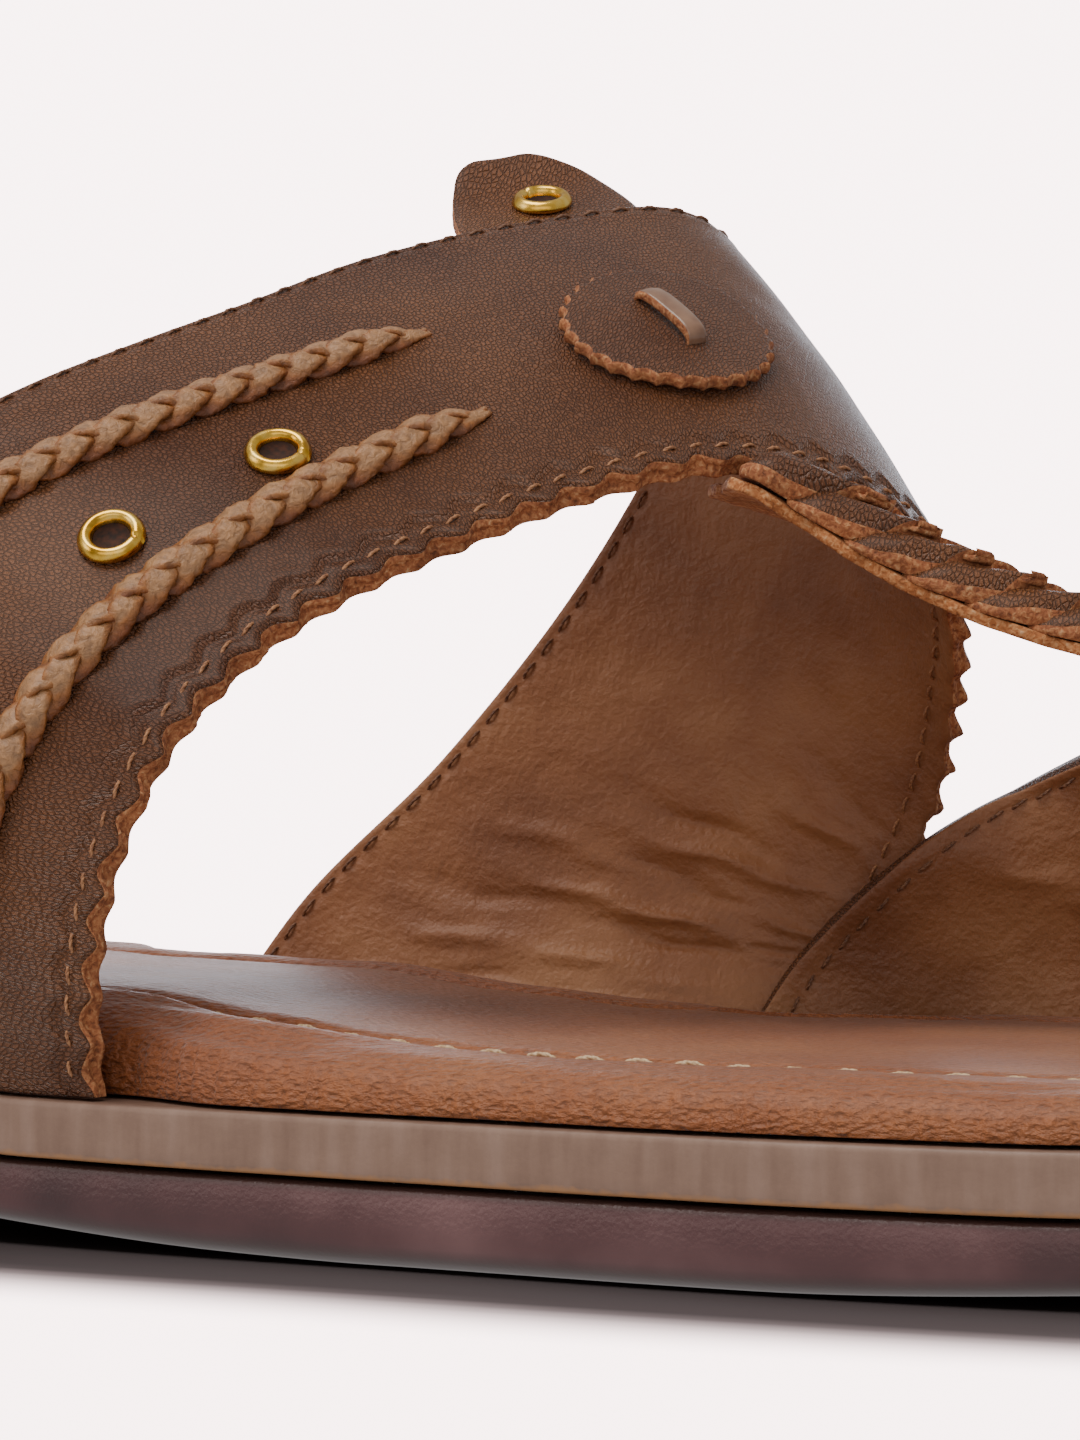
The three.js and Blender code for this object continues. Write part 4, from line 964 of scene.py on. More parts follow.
def grow(name, points, directions, tree, values):
    """A mesh that geometry nodes grow on points in millimetres that carry directions.

    The values are the tree's inputs by name, and its lengths are in metres.
    """
    holder = new_mesh(name + "_points", points, [], [])
    for attribute, vectors in directions.items():
        layer = holder.data.attributes.new(attribute, "FLOAT_VECTOR", "POINT")
        layer.data.foreach_set("vector", np.asarray(vectors, np.float32).ravel())
    modifier = holder.modifiers.new("grow", "NODES")
    modifier.node_group = tree
    inputs = [item for item in tree.interface.items_tree if item.in_out == "INPUT"]
    identifiers = {item.name: item.identifier for item in inputs}
    for key, value in values.items():
        modifier[identifiers[key]] = value
    bpy.context.view_layer.update()
    evaluated = holder.evaluated_get(bpy.context.evaluated_depsgraph_get())
    mesh = bpy.data.meshes.new_from_object(evaluated)
    mesh.name = name
    holder.modifiers.clear()
    bpy.data.objects.remove(holder)
    piece = bpy.data.objects.new(name, mesh)
    bpy.context.scene.collection.objects.link(piece)
    return piece


def thread_material(name, colour, pale):
    """Waxed linen thread: matt twisted fibres with pale crests."""
    material, shader, place = new_material(name, colour, 0.6)
    fibres = add_node(material, "ShaderNodeTexNoise", None,
                      {"Vector": place, "Scale": 3000.0, "Detail": 3.0})
    tone = add_node(material, "ShaderNodeValToRGB", {"ramp": [(0.35, colour), (0.65, pale)]},
                    {"Fac": fibres.outputs["Fac"]})
    material.node_tree.links.new(tone.outputs["Color"], shader.inputs["Base Color"])
    bump = add_node(material, "ShaderNodeBump", None,
                    {"Height": fibres.outputs["Fac"], "Strength": 0.4, "Distance": 0.0001})
    material.node_tree.links.new(bump.outputs["Normal"], shader.inputs["Normal"])
    return material


def even_stitches(band, across_of, pitch):
    """Rows where stitches stand, from a millimetre inside one foot of a band to the other."""
    lengths = band.length_along(band.face(band.fine, across_of(band.fine)))
    count = round((lengths[-1] - 2) / pitch)
    return np.interp(1 + pitch * (np.arange(count) + 0.5), lengths, band.fine)


def sew(name, band, across_of, thread, pitch, length, slant, lift):
    """A row of stitches along a band, on its outer leather or its lining, each turned by a slant."""
    rows = even_stitches(band, across_of, pitch)
    across = across_of(rows)
    along, _, out = band.axes(rows, across)
    points = band.face(rows, across) + out * lift
    if lift < -STRAP_WALL:
        out = -out
    turned = along * math.cos(slant) + np.cross(out, along) * math.sin(slant)
    seam = grow(name, points, {"along": turned, "outward": out}, STITCH, {
        "Length": length / 1000, "Rise": STITCH_RISE / 1000, "Strand": THREAD_THICK / 4000,
        "Material": thread})
    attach(seam, "root")


STITCH = thread_tree()
tan_thread = thread_material("tan_waxed_thread", "#7f4f32", "#b27e56")
dark_thread = thread_material("brown_waxed_thread", "#5b3a28", "#8a6044")
# on the lining a stitch's middle line lies just over the surface
LINING_LIFT = -STRAP_WALL - 0.02
sew("strap_front_stitches", strap, lambda rows: 1 - STRAP_SEAM_IN / strap.width(rows),
    tan_thread, pitch=2.55, length=1.8, slant=0.2, lift=-0.14)
sew("strap_rear_stitches", strap, lambda rows: 0.95 / strap.width(rows),
    dark_thread, pitch=2.9, length=1.9, slant=0.05, lift=-0.12)
sew("strap_lining_rear_stitches", strap, lambda rows: 1.3 / strap.width(rows),
    dark_thread, pitch=2.9, length=2.0, slant=0.05, lift=LINING_LIFT)
sew("strap_lining_stitches", strap, lambda rows: 1 - 3.1 / strap.width(rows),
    tan_thread, pitch=2.55, length=1.7, slant=0.15, lift=LINING_LIFT)

# Toe ring band: the same lined leather, from the sole's inner edge over the big toe and down between toes.
# Its rear corner is lapped inside the strap, and its edges are cut plain and stitched.
TOE_CROWN = 0.8
TOE_STITCH_PITCH = 2.6
TOE_REAR_SEAM_IN = 2.8
TOE_FRONT_SEAM_IN = 1.6
# rear edge x, y, z and front edge x, y, z
TOE_BAND_ROWS = [
    (225, 16.6, 12, 243, 16.6, 12),
    (224.5, 15.8, 20, 243, 15.6, 19.5),
    (223, 16, 30, 243.5, 16, 28),
    (220.5, 19.2, 39.5, 244, 20, 36.5),
    (215.5, 26, 45.5, 243, 27, 42.3),
    (207, 34, 46.3, 239.5, 36, 44.4),
    (196, 39.2, 42.4, 233.5, 44, 42),
    (184.5, 39.4, 36.8, 226, 50.3, 36),
    (173.5, 34.9, 29.6, 218, 54, 28),
    (165, 33.6, 21.3, 210, 53.2, 19.5),
    (159.5, 33, 12, 204, 50, 12),
]


def lapped_inset(across):
    """How far in the band's foot stands: further where it is lapped inside the strap, at its rear corner."""
    return STRAP_INSET + (STRAP_WALL + LAP_CLEAR) * (1 - smooth_step(0.08, 0.4, across))


toe_band = Band(TOE_BAND_ROWS, TOE_CROWN, [(0, None, None), (len(TOE_BAND_ROWS) - 1, "inner", lapped_inset)])
# the same columns as the strap's creases
TOE_CREASES = [
    (4.2, 0.5, 0.2, 16, 1.6, -0.2), (5.4, 0.5, -0.1, 18, 1.8, -0.22), (7.6, 0.5, 0.3, 26, 2.4, 0.2),
    (8.4, 0.4, 0.2, 26, 2.2, -0.3),
]
TOE_LINING_CREASES = [
    (3.6, 0.5, 0.1, 14, 0.9, 0.35), (4.3, 0.5, 0.0, 16, 0.9, -0.35), (4.8, 0.4, 0.2, 14, 0.8, 0.3),
    (5.6, 0.5, -0.1, 18, 0.9, -0.3), (7.2, 0.5, 0.2, 22, 1.2, 0.3), (8.2, 0.4, 0.3, 22, 1.2, -0.35),
]
toe_style = {
    "outer_cut": lambda rows: np.zeros(len(rows)),
    "lining_cut": lambda rows: np.full(len(rows), 0.1),
    "columns": 34,
    "creases": TOE_CREASES,
    "lining_creases": TOE_LINING_CREASES,
    "outer_seams": lambda to_front, to_rear, row: (-0.2 * bump_at(to_front, TOE_FRONT_SEAM_IN, 0.4)
                                                   - 0.2 * bump_at(to_rear, TOE_REAR_SEAM_IN, 0.45)),
    "lining_seams": lambda to_front, to_rear: 0.14 * (bump_at(to_front, TOE_FRONT_SEAM_IN, 0.4)
                                                      + bump_at(to_rear, TOE_REAR_SEAM_IN, 0.4)),
}
toe_ring = make_lined_band(toe_band, "toe_ring", toe_band.even_rows(300), toe_style, BAND_SKINS)
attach(toe_ring, "root")
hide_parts("toe_ring_band")


def toe_rear_seam(rows):
    """Share across the toe band where its rear stitches stand."""
    return TOE_REAR_SEAM_IN / toe_band.width(rows)


def toe_front_seam(rows):
    """Share across the toe band where its front stitches stand."""
    return 1 - TOE_FRONT_SEAM_IN / toe_band.width(rows)


sew("toe_ring_rear_stitches", toe_band, toe_rear_seam,
    dark_thread, pitch=TOE_STITCH_PITCH, length=1.9, slant=0.1, lift=-0.12)
sew("toe_ring_front_stitches", toe_band, toe_front_seam,
    dark_thread, pitch=TOE_STITCH_PITCH, length=1.9, slant=0.1, lift=-0.12)
sew("toe_ring_lining_stitches", toe_band, toe_rear_seam,
    dark_thread, pitch=TOE_STITCH_PITCH, length=1.8, slant=0.1, lift=LINING_LIFT)

# Laced strip: a soft raw-edged base strap with thongs laced through it, folded into two columns of scales.
# Each scale lies over the start of the next toward the toe. Its cut sides and curled tips are rust-brown.
STRIP_BASE_THICK = 1.1
STRIP_BASE_CLEAR = 0.12
PLAIT_PITCH = 5.1
NEAR, FAR = 1, -1
# side near the little toe x, y, z and side near the big toe x, y, z
STRIP_ROWS = [
    (177.5, 20.7, 58, 167.8, 5.2, 61.7),
    (183.5, 18.6, 54, 173.8, -2.9, 61.6),
    (188, 15.8, 52.4, 178.4, -1.8, 58.7),
    (194, 13.6, 50.4, 186, -0.6, 53.8),
    (200.5, 13.3, 47.9, 194.5, 0.9, 49.8),
    (207, 14.8, 45.8, 203.5, 3, 46.8),
    (213.5, 16.6, 44.3, 212, 5.6, 43.8),
    (219.8, 19.4, 45.2, 218.6, 9.2, 42),
    (225.6, 22.2, 45.6, 226, 13, 38.6),
    (230.2, 24.1, 44.8, 232.9, 16.1, 35.4),
]
strip = Band(STRIP_ROWS, 0, [])


def closed_grid(upper, lower, side_rows, bulge, seed):
    """A closed skin from an upper and a lower grid of points, with slightly swollen, uneven sides.

    The upper grid's faces are in zone 0, and the sides and the lower grid in zone 1.
    """
    rows, columns = upper.shape[:2]
    border = [(0, j) for j in range(columns)] + [(i, columns - 1) for i in range(1, rows)]
    border += [(rows - 1, j) for j in range(columns - 2, -1, -1)] + [(i, 0) for i in range(rows - 2, 0, -1)]
    half = rows * columns
    points = [upper.reshape(-1, 3), lower.reshape(-1, 3)]
    centre = upper.reshape(-1, 3).mean(axis=0)
    edge_up = np.array([upper[i, j] for i, j in border])
    edge_low = np.array([lower[i, j] for i, j in border])
    along = np.roll(edge_up, -1, axis=0) - np.roll(edge_up, 1, axis=0)
    sideways = np.cross(edge_up - edge_low, along)
    sideways /= np.linalg.norm(sideways, axis=1, keepdims=True) + 1e-9
    if ((edge_up - centre) * sideways).sum() < 0:
        sideways = -sideways
    for level in range(1, side_rows + 1):
        t = level / (side_rows + 1)
        ring = edge_up + (edge_low - edge_up) * t
        uneven = 0.7 * wave(*ring.T, seed=seed, size=1.1) + 0.5 * wave(*ring.T, seed=seed + 1, size=0.6)
        points.append(ring + sideways * (bulge * (math.sin(math.pi * t) + uneven))[:, None])
    faces = []
    zones = []
    for i in range(rows - 1):
        for j in range(columns - 1):
            a = i * columns + j
            faces.append((a, a + 1, a + columns + 1, a + columns))
            zones.append(0)
            b = half + a
            faces.append((b, b + columns, b + columns + 1, b + 1))
            zones.append(1)
    rings = [[i * columns + j for i, j in border]]
    for level in range(side_rows):
        first = 2 * half + level * len(border)
        rings.append(list(range(first, first + len(border))))
    rings.append([half + i * columns + j for i, j in border])
    for above, below in zip(rings, rings[1:]):
        for k in range(len(border)):
            n = (k + 1) % len(border)
            faces.append((above[k], below[k], below[n], above[n]))
            zones.append(1)
    return np.concatenate(points), faces, zones


def merged(name, parts, materials):
    """One piece from several closed skins."""
    points = []
    faces = []
    zones = []
    for part_points, part_faces, part_zones in parts:
        first = sum(len(p) for p in points)
        points.append(part_points)
        faces += [tuple(first + index for index in face) for face in part_faces]
        zones += part_zones
    piece = new_mesh(name, np.concatenate(points), faces, materials)
    piece.data.polygons.foreach_set("material_index", zones)
    return piece


def facing_out(part):
    """The same skin with its faces turned if they point inward."""
    points, faces, zones = part
    volume = 0.0
    for face in faces:
        a = points[face[0]]
        for k in range(1, len(face) - 1):
            volume += np.dot(a, np.cross(points[face[k]], points[face[k + 1]]))
    return part if volume > 0 else (points, [face[::-1] for face in faces], zones)


def strip_base_part():
    """The base: a soft strap whose sides swell between the thongs."""
    rows = np.linspace(0, strip.last, 150)[:, None]
    across = np.linspace(0, 1, 15)[None, :]
    phase = strip.run(rows) / PLAIT_PITCH * 2 * np.pi
    swollen = 0.25 * np.sin(phase) + 0.1 * np.sin(2.3 * phase + 1)
    across = across + (2 * across - 1) * swollen / strip.width(rows)
    waviness = 0.1 * np.sin(phase + 0.8)
    upper = strip.lifted(rows, across, STRIP_BASE_THICK + waviness * 0.6)
    lower = strip.lifted(rows, across, STRIP_BASE_CLEAR + waviness * 0.4)
    return facing_out(closed_grid(upper, lower, side_rows=4, bulge=0.1, seed=3))


def scale_part(start, side, seed):
    """One folded thong of a column, from where it comes up to its tip."""
    rng = np.random.default_rng(seed)
    length = PLAIT_PITCH * (1.4 if side == NEAR else 1.35)
    side_roll = 2.0 if side == NEAR else 1.2
    u = np.linspace(0, 1, 15)[:, None]
    v = np.linspace(0, 1, 11)[None, :]
    run = start + length * u
    rows = np.interp(run, strip.run(strip.fine), strip.fine)
    # leaf outline: narrow where it comes up, full in the middle, rounded at its tip
    half = 0.27 * np.sin(np.pi * (0.16 + 0.74 * u)) ** 0.45
    across = 0.5 + side * (0.25 + rng.uniform(-0.01, 0.01)) + side * half * (2 * v - 1)
    # it rolls over the side of the strip, and climbs over the next scale toward its tip
    to_side = (1 - v) * 2 * half * strip.width(rows)
    roll = side_roll * (1 - np.clip(1 - to_side / 3.0, 0, 1) ** 2.2)
    rise = 1.5 * u**1.4 - 0.5 * (1 - u) ** 2 + rng.uniform(-0.08, 0.08)
    # the first scales of the near column stand up on the strap's edge
    swell = 0.8 * (1 - smooth_step(6, 15, run)) * (side == NEAR)
    soft = 0.14 * wave(*np.moveaxis(strip.face(rows, across), -1, 0), seed=seed, size=3.0)
    upper = strip.lifted(rows, across, STRIP_BASE_THICK + 0.8 + roll + rise + swell + soft)
    lower = strip.lifted(rows, across, STRIP_BASE_THICK - 0.15 + 0.3 * (rise + 0.5) + 0.45 * swell)
    return facing_out(closed_grid(upper, lower, side_rows=5, bulge=0.16, seed=seed))


def curl_part(start, seed):
    """A rust-brown tip of a thong that curls up between the two columns."""
    rng = np.random.default_rng(seed)
    u = np.linspace(0, 1, 9)[:, None]
    v = np.linspace(0, 1, 5)[None, :]
    turn = 2.3 * u
    run = start + 1.1 * np.sin(turn) + rng.uniform(-0.2, 0.2)
    lift = STRIP_BASE_THICK + 3.7 + 0.5 * (1 - np.cos(turn))
    rows = np.interp(run, strip.run(strip.fine), strip.fine)
    half = 0.085 * (1 - 0.3 * u)
    across = 0.72 + half * (2 * v - 1) + 0.03 * u
    upper = strip.lifted(rows, across, lift)
    lower = strip.lifted(rows - 0.02 * np.cos(turn), across, lift - 0.55)
    return facing_out(closed_grid(upper, lower, side_rows=2, bulge=0.1, seed=seed))


def follow_grain(piece, along, over):
    """Two numbers over which brown leather lays its grain, on a piece that isn't a strap."""
    places = np.array([vertex.co for vertex in piece.data.vertices])
    add_numbers(piece, "run", places @ along)
    add_numbers(piece, "girth", places @ over)


tan_edge = raw_edge("raw_strip_edge", ("#7d4826", "#b8713f", "#d3935f", "#e6b98c"))
strip_floor = merged("strip_base_strap", [strip_base_part()], [tan_lining, tan_edge])
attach(strip_floor, "root")
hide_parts("strip_base")

FIRST_SCALE = 6.2
starts = np.arange(FIRST_SCALE, strip.run(strip.last) - PLAIT_PITCH * 1.5, PLAIT_PITCH)
near_column = [scale_part(start, NEAR, 40 + k) for k, start in enumerate(starts)]
far_column = [scale_part(start - 0.45 * PLAIT_PITCH, FAR, 60 + k) for k, start in enumerate(starts[1:])]
curls = [curl_part(start + PLAIT_PITCH * 1.35, 80 + k) for k, start in enumerate(starts[:-1])]
scales = merged("laced_scales", near_column, [brown_leather, rust_edge])
far_scales = merged("laced_scales_far", far_column + curls, [rust_edge, rust_edge])
for scale_piece in (scales, far_scales):
    follow_grain(scale_piece, (1, 0, 0), (0, 0.6, 0.8))
    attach(scale_piece, "root")
    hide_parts("strip_plait")

# Plaited cords: three flat leather ribbons braided together, laid on each half of the strap in two rows.
# Their tapered ends are tucked into the strap.
CORD_STEP = 0.42
CORD_PITCH = 11.1
RIBBON_WIDE = 2.5
RIBBON_THICK = 0.85
RIBBON_SIDES = 12
BRAID_HALF = 1.0
BRAID_LIFT = 0.95
BRAID_SWING = 0.5
# each cord's line, from its end near the crown to its end near the sole, as places on the strap
CORDS = {
    "plait_outer_upper": [(6.82, 0.378), (5.5, 0.33), (4.2, 0.289), (2.6, 0.27), (0.9, 0.27)],
    "plait_outer_lower": [(6.73, 0.694), (5.6, 0.715), (4.4, 0.737), (2.6, 0.735), (0.9, 0.75)],
    "plait_inner_upper": [(11.1, 0.37), (12.2, 0.32), (13.3, 0.29), (14.3, 0.28), (15.2, 0.28)],
    "plait_inner_lower": [(11.1, 0.69), (12.2, 0.72), (13.3, 0.735), (14.3, 0.74), (15.2, 0.75)],
}


def cord_material():
    """Split-leather ribbon: tan-brown and fibrous, with painted shade in the braid's gaps and a painted
    highlight on its crests.
    """
    material, shader, place = new_material(
        "plaited_split_leather", "#8c5f41", 0.5, Coat_Weight=0.15, Coat_Roughness=0.35)
    around = add_node(material, "ShaderNodeAttribute", {"attribute_name": "around"}).outputs["Fac"]
    fibres = add_node(material, "ShaderNodeTexNoise", None,
                      {"Vector": place, "Scale": 1500.0, "Detail": 5.0, "Distortion": 0.5})
    patches = add_node(material, "ShaderNodeTexNoise", None,
                       {"Vector": place, "Scale": 260.0, "Detail": 3.0})
    # painted shade and highlight from each ribbon's side and the weave, with random patches
    crest = add_node(material, "ShaderNodeMath", {"operation": "MULTIPLY_ADD"},
                     {0: patches.outputs["Fac"], 1: 0.5, 2: around})
    tone = add_node(material, "ShaderNodeValToRGB",
                    {"ramp": [(0.35, "#3a1b0b"), (0.62, "#86471c"), (0.85, "#a0642f"), (1.0, "#b18055")]},
                    {"Fac": crest.outputs["Value"]})
    soft = add_node(material, "ShaderNodeValToRGB", {"ramp": [(0.3, 0.55), (0.65, 1.0)]},
                    {"Fac": fibres.outputs["Fac"]})
    toned = add_node(material, "ShaderNodeMixRGB", {"blend_type": "MULTIPLY"},
                     {"Fac": 1.0, "Color1": tone.outputs["Color"], "Color2": soft.outputs["Color"]})
    material.node_tree.links.new(toned.outputs["Color"], shader.inputs["Base Color"])
    bump = add_node(material, "ShaderNodeBump", None,
                    {"Height": fibres.outputs["Fac"], "Strength": 0.8, "Distance": 0.0005})
    material.node_tree.links.new(bump.outputs["Normal"], shader.inputs["Normal"])
    return material


def ribbon_section():
    """Corners of a ribbon's section, from -1 to 1 over its width and its thickness, with soft edges."""
    corners = []
    for angle in np.linspace(0, 2 * math.pi, RIBBON_SIDES, endpoint=False):
        c, s = math.cos(angle), math.sin(angle)
        corners.append((math.copysign(abs(c) ** 0.6, c), math.copysign(abs(s) ** 0.7, s)))
    return corners


def make_cord(name, table, material):
    """Three ribbons that weave over and under each other along the cord's line on the strap."""
    fine = np.linspace(0, len(table) - 1, 900)
    lengths = strap.length_along(strap.face(*along_rows(table, fine).T))
    total = lengths[-1]
    steps = int(total / CORD_STEP)
    run = np.linspace(0, total, steps)
    rows, across = along_rows(table, np.interp(run, lengths, fine)).T
    out = strap.axes(rows, across)[2]
    centre = strap.face(rows, across)
    ahead = np.gradient(centre, axis=0)
    ahead /= np.linalg.norm(ahead, axis=1, keepdims=True)
    aside = np.cross(out, ahead)
    to_end = np.minimum(run, total - run)
    taper = 0.45 + 0.55 * smooth_step(0, 7, to_end)
    sink = -0.5 * (1 - smooth_step(0, 4, to_end))
    section = ribbon_section()
    points = []
    faces = []
    above = []
    for strand in range(3):
        # a ribbon swings from side to side, and goes over the others twice in each swing
        turn = 2 * np.pi * (run / CORD_PITCH + strand / 3)
        over = np.sin(2 * turn + 0.3)
        sideways = BRAID_HALF * np.sin(turn) * taper
        height = (BRAID_LIFT + BRAID_SWING * over) * taper + sink
        path = centre + aside * sideways[:, None] + out * height[:, None]
        forward = np.gradient(path, axis=0)
        forward /= np.linalg.norm(forward, axis=1, keepdims=True)
        up = out + aside * (0.55 * np.sin(turn))[:, None]
        up -= forward * (up * forward).sum(axis=1)[:, None]
        up /= np.linalg.norm(up, axis=1, keepdims=True)
        half_width = np.cross(up, forward) * (RIBBON_WIDE / 2 * taper)[:, None]
        half_thick = up * (RIBBON_THICK / 2 * taper)[:, None]
        corners = []
        for c, s in section:
            offset = half_width * c + half_thick * s
            fibres = 0.1 * wave(*(path + offset).T, seed=51 + strand, size=0.7)
            fibres = fibres + 0.06 * wave(*(path + offset).T, seed=57, size=0.35)
            corners.append(path + offset * (1 + fibres / 0.8)[:, None])
        points.append(np.stack(corners, axis=1).reshape(-1, 3))
        above.append(np.repeat(over, RIBBON_SIDES))
        base = strand * steps * RIBBON_SIDES
        for i in range(steps - 1):
            near = base + i * RIBBON_SIDES
            far = near + RIBBON_SIDES
            for j in range(RIBBON_SIDES):
                n = (j + 1) % RIBBON_SIDES
                faces.append((near + j, near + n, far + n, far + j))
        last = base + (steps - 1) * RIBBON_SIDES
        faces.append(tuple(range(base + RIBBON_SIDES - 1, base - 1, -1)))
        faces.append(tuple(range(last, last + RIBBON_SIDES)))
    part = facing_out((np.concatenate(points), faces, [0] * len(faces)))
    cord = merged(name + "_braid", [part], [material])
    # painted shade and highlight: the material is darkest under a ribbon and at its sides, and palest where
    # a ribbon's top comes up
    crest = np.tile([0.5 + 0.5 * s * (1 - 0.75 * abs(c)) for c, s in section], 3 * steps)
    add_numbers(cord, "around", crest * (0.75 + 0.25 * np.concatenate(above)))
    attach(cord, "root")
    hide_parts(name)


split_leather = cord_material()
for cord_name, cord_table in CORDS.items():
    make_cord(cord_name, cord_table, split_leather)

# Eyelets: small brass rings, two on each half of the strap and one on the rear tab.
# Each barrel is rolled over the edge of its hole, with a small split where it opened.
EYELETS = {
    "eyelet_outer_1": (4.25, 0.574), "eyelet_outer_2": (5.49, 0.58),
    "eyelet_inner_1": (12.1, 0.57), "eyelet_inner_2": (13.1, 0.57),
}
TAB_PLACE = (8.14, -0.193)
EYELET_TURNS = 72
# radius, and height over the leather
EYELET_PROFILE = [
    (1.5, -1.2), (1.55, -0.1), (1.62, 0.45), (1.8, 0.8), (2.1, 0.98), (2.4, 0.92), (2.68, 0.66),
    (2.86, 0.32), (2.9, 0.08), (2.8, -0.1), (1.9, -0.12), (1.9, -1.2),
]
SPLIT_DEPTH = 0.35
SPLIT_WIDTH = 0.07
HOLE_RADIUS = 1.57
HOLE_LEVELS = (0.15, -0.3)
HOLE_TURNS = 24


def brass_material():
    """Polished, lacquered brass: warm, mirror-like, with fine wear and a few darker spots in the roll."""
    material, shader, place = new_material("polished_brass", "#e4b345", 0.2, Metallic=1.0)
    wear = add_node(material, "ShaderNodeTexNoise", None, {"Vector": place, "Scale": 700.0, "Detail": 5.0})
    tone = add_node(material, "ShaderNodeValToRGB",
                    {"ramp": [(0.3, "#b98628"), (0.5, "#e4b345"), (0.7, "#f2ce72")]},
                    {"Fac": wear.outputs["Fac"]})
    material.node_tree.links.new(tone.outputs["Color"], shader.inputs["Base Color"])
    rough = add_node(material, "ShaderNodeMapRange", None, {
        "Value": wear.outputs["Fac"], "From Min": 0.3, "From Max": 0.7, "To Min": 0.14, "To Max": 0.34})
    material.node_tree.links.new(rough.outputs["Result"], shader.inputs["Roughness"])
    bump = add_node(material, "ShaderNodeBump", None,
                    {"Height": wear.outputs["Fac"], "Strength": 0.15, "Distance": 0.0002})
    material.node_tree.links.new(bump.outputs["Normal"], shader.inputs["Normal"])
    return material


def hole_shade_material():
    """Painted shade: a dark disc at the bottom of a punched hole, darker than the leather there."""
    material, shader, place = new_material("painted_hole_shade_disc", "#2a150c", 0.9)
    grit = add_node(material, "ShaderNodeTexNoise", None, {"Vector": place, "Scale": 2000.0, "Detail": 3.0})
    tone = add_node(material, "ShaderNodeValToRGB", {"ramp": [(0.3, "#1a0c07"), (0.7, "#43200f")]},
                    {"Fac": grit.outputs["Fac"]})
    material.node_tree.links.new(tone.outputs["Color"], shader.inputs["Base Color"])
    return material


brass = brass_material()
painted_hole_shade = hole_shade_material()


def make_eyelet(node, centre, axes, split_angle):
    """The rolled ring with its small split, and a dark disc of painted shade in its hole."""
    along, _, out = axes
    over = np.cross(out, along)

    def spoke(angle):
        return along * math.cos(angle) + over * math.sin(angle)

    points = []
    for angle in np.linspace(0, 2 * math.pi, EYELET_TURNS, endpoint=False):
        split = math.exp(-(math.remainder(angle - split_angle, 2 * math.pi) / SPLIT_WIDTH) ** 2)
        for radius, height in EYELET_PROFILE:
            sunk = SPLIT_DEPTH * split * (height > 0.3)
            points.append(centre + spoke(angle) * radius + out * (height - sunk))
    rings = len(EYELET_PROFILE)
    faces = []
    for k in range(EYELET_TURNS):
        n = (k + 1) % EYELET_TURNS
        for j in range(rings):
            m = (j + 1) % rings
            faces.append((k * rings + j, n * rings + j, n * rings + m, k * rings + m))
    ring_part = facing_out((np.array(points), faces, [0] * len(faces)))
    # the disc in the hole is painted shade
    round_hole = np.linspace(0, 2 * math.pi, HOLE_TURNS, endpoint=False)
    floor_points = [centre + spoke(angle) * HOLE_RADIUS + out * level
                    for level in HOLE_LEVELS for angle in round_hole]
    floor_faces = [tuple(range(HOLE_TURNS)), tuple(range(2 * HOLE_TURNS - 1, HOLE_TURNS - 1, -1))]
    for i in range(HOLE_TURNS):
        n = (i + 1) % HOLE_TURNS
        floor_faces.append((i, n, HOLE_TURNS + n, HOLE_TURNS + i))
    floor_part = facing_out((np.array(floor_points), floor_faces, [1] * len(floor_faces)))
    eyelet = merged(node + "_ring", [ring_part, floor_part], [brass, painted_hole_shade])
    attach(eyelet, "root")
    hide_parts(node)


for eyelet_name, eyelet_place in EYELETS.items():
    make_eyelet(eyelet_name, strap.lifted(*eyelet_place, 0.15), strap.axes(*eyelet_place), split_angle=-1.0)
tab_centre = strap.lifted(*TAB_PLACE, -STRAP_WALL - 0.2)
make_eyelet("eyelet_tab", tab_centre, strap.axes(*TAB_PLACE), split_angle=2.0)

# Disc: a round of thick leather with a scalloped raw edge, laid on the strap's crown.
# A flat thong that goes down through two slits in its middle holds it there.
DISC_PLACE = (8.15, 0.574)
DISC_RADIUS = 9.5
DISC_THICK = 1.2
DISC_LOW = GAP + 0.05
DISC_TOP = DISC_LOW + DISC_THICK
DISC_CROWN = 0.2
DISC_SCALLOPS = 28
SCALLOP_DEPTH = 0.5
SCALLOP_STEPS = 10
RAW_DISC_RINGS = 4
RAW_FROM = 0.94
# share of the radius, height above the strap, share of the scallops' bite
DISC_PROFILE = [
    (0.985, DISC_LOW, 1.0),
    (1.0, DISC_LOW + 0.25, 1.0),
    (1.005, DISC_LOW + 0.6, 1.0),
    (0.995, DISC_TOP - 0.2, 1.0),
    (0.965, DISC_TOP, 0.9),
    (0.93, DISC_TOP + 0.04, 0.6),
    (0.85, DISC_TOP + 0.04, 0.0),
    (0.7, DISC_TOP + 0.08, 0.0),
    (0.5, DISC_TOP + 0.14, 0.0),
    (0.3, DISC_TOP + 0.18, 0.0),
    (0.12, DISC_TOP + DISC_CROWN, 0.0),
]


def over_strap(place, forward, sideways, lift):
    """Points over the strap reached from a place, in millimetres forward and sideways."""
    row, across = strap.walk(place, forward, sideways)
    return strap.lifted(row, across, lift)


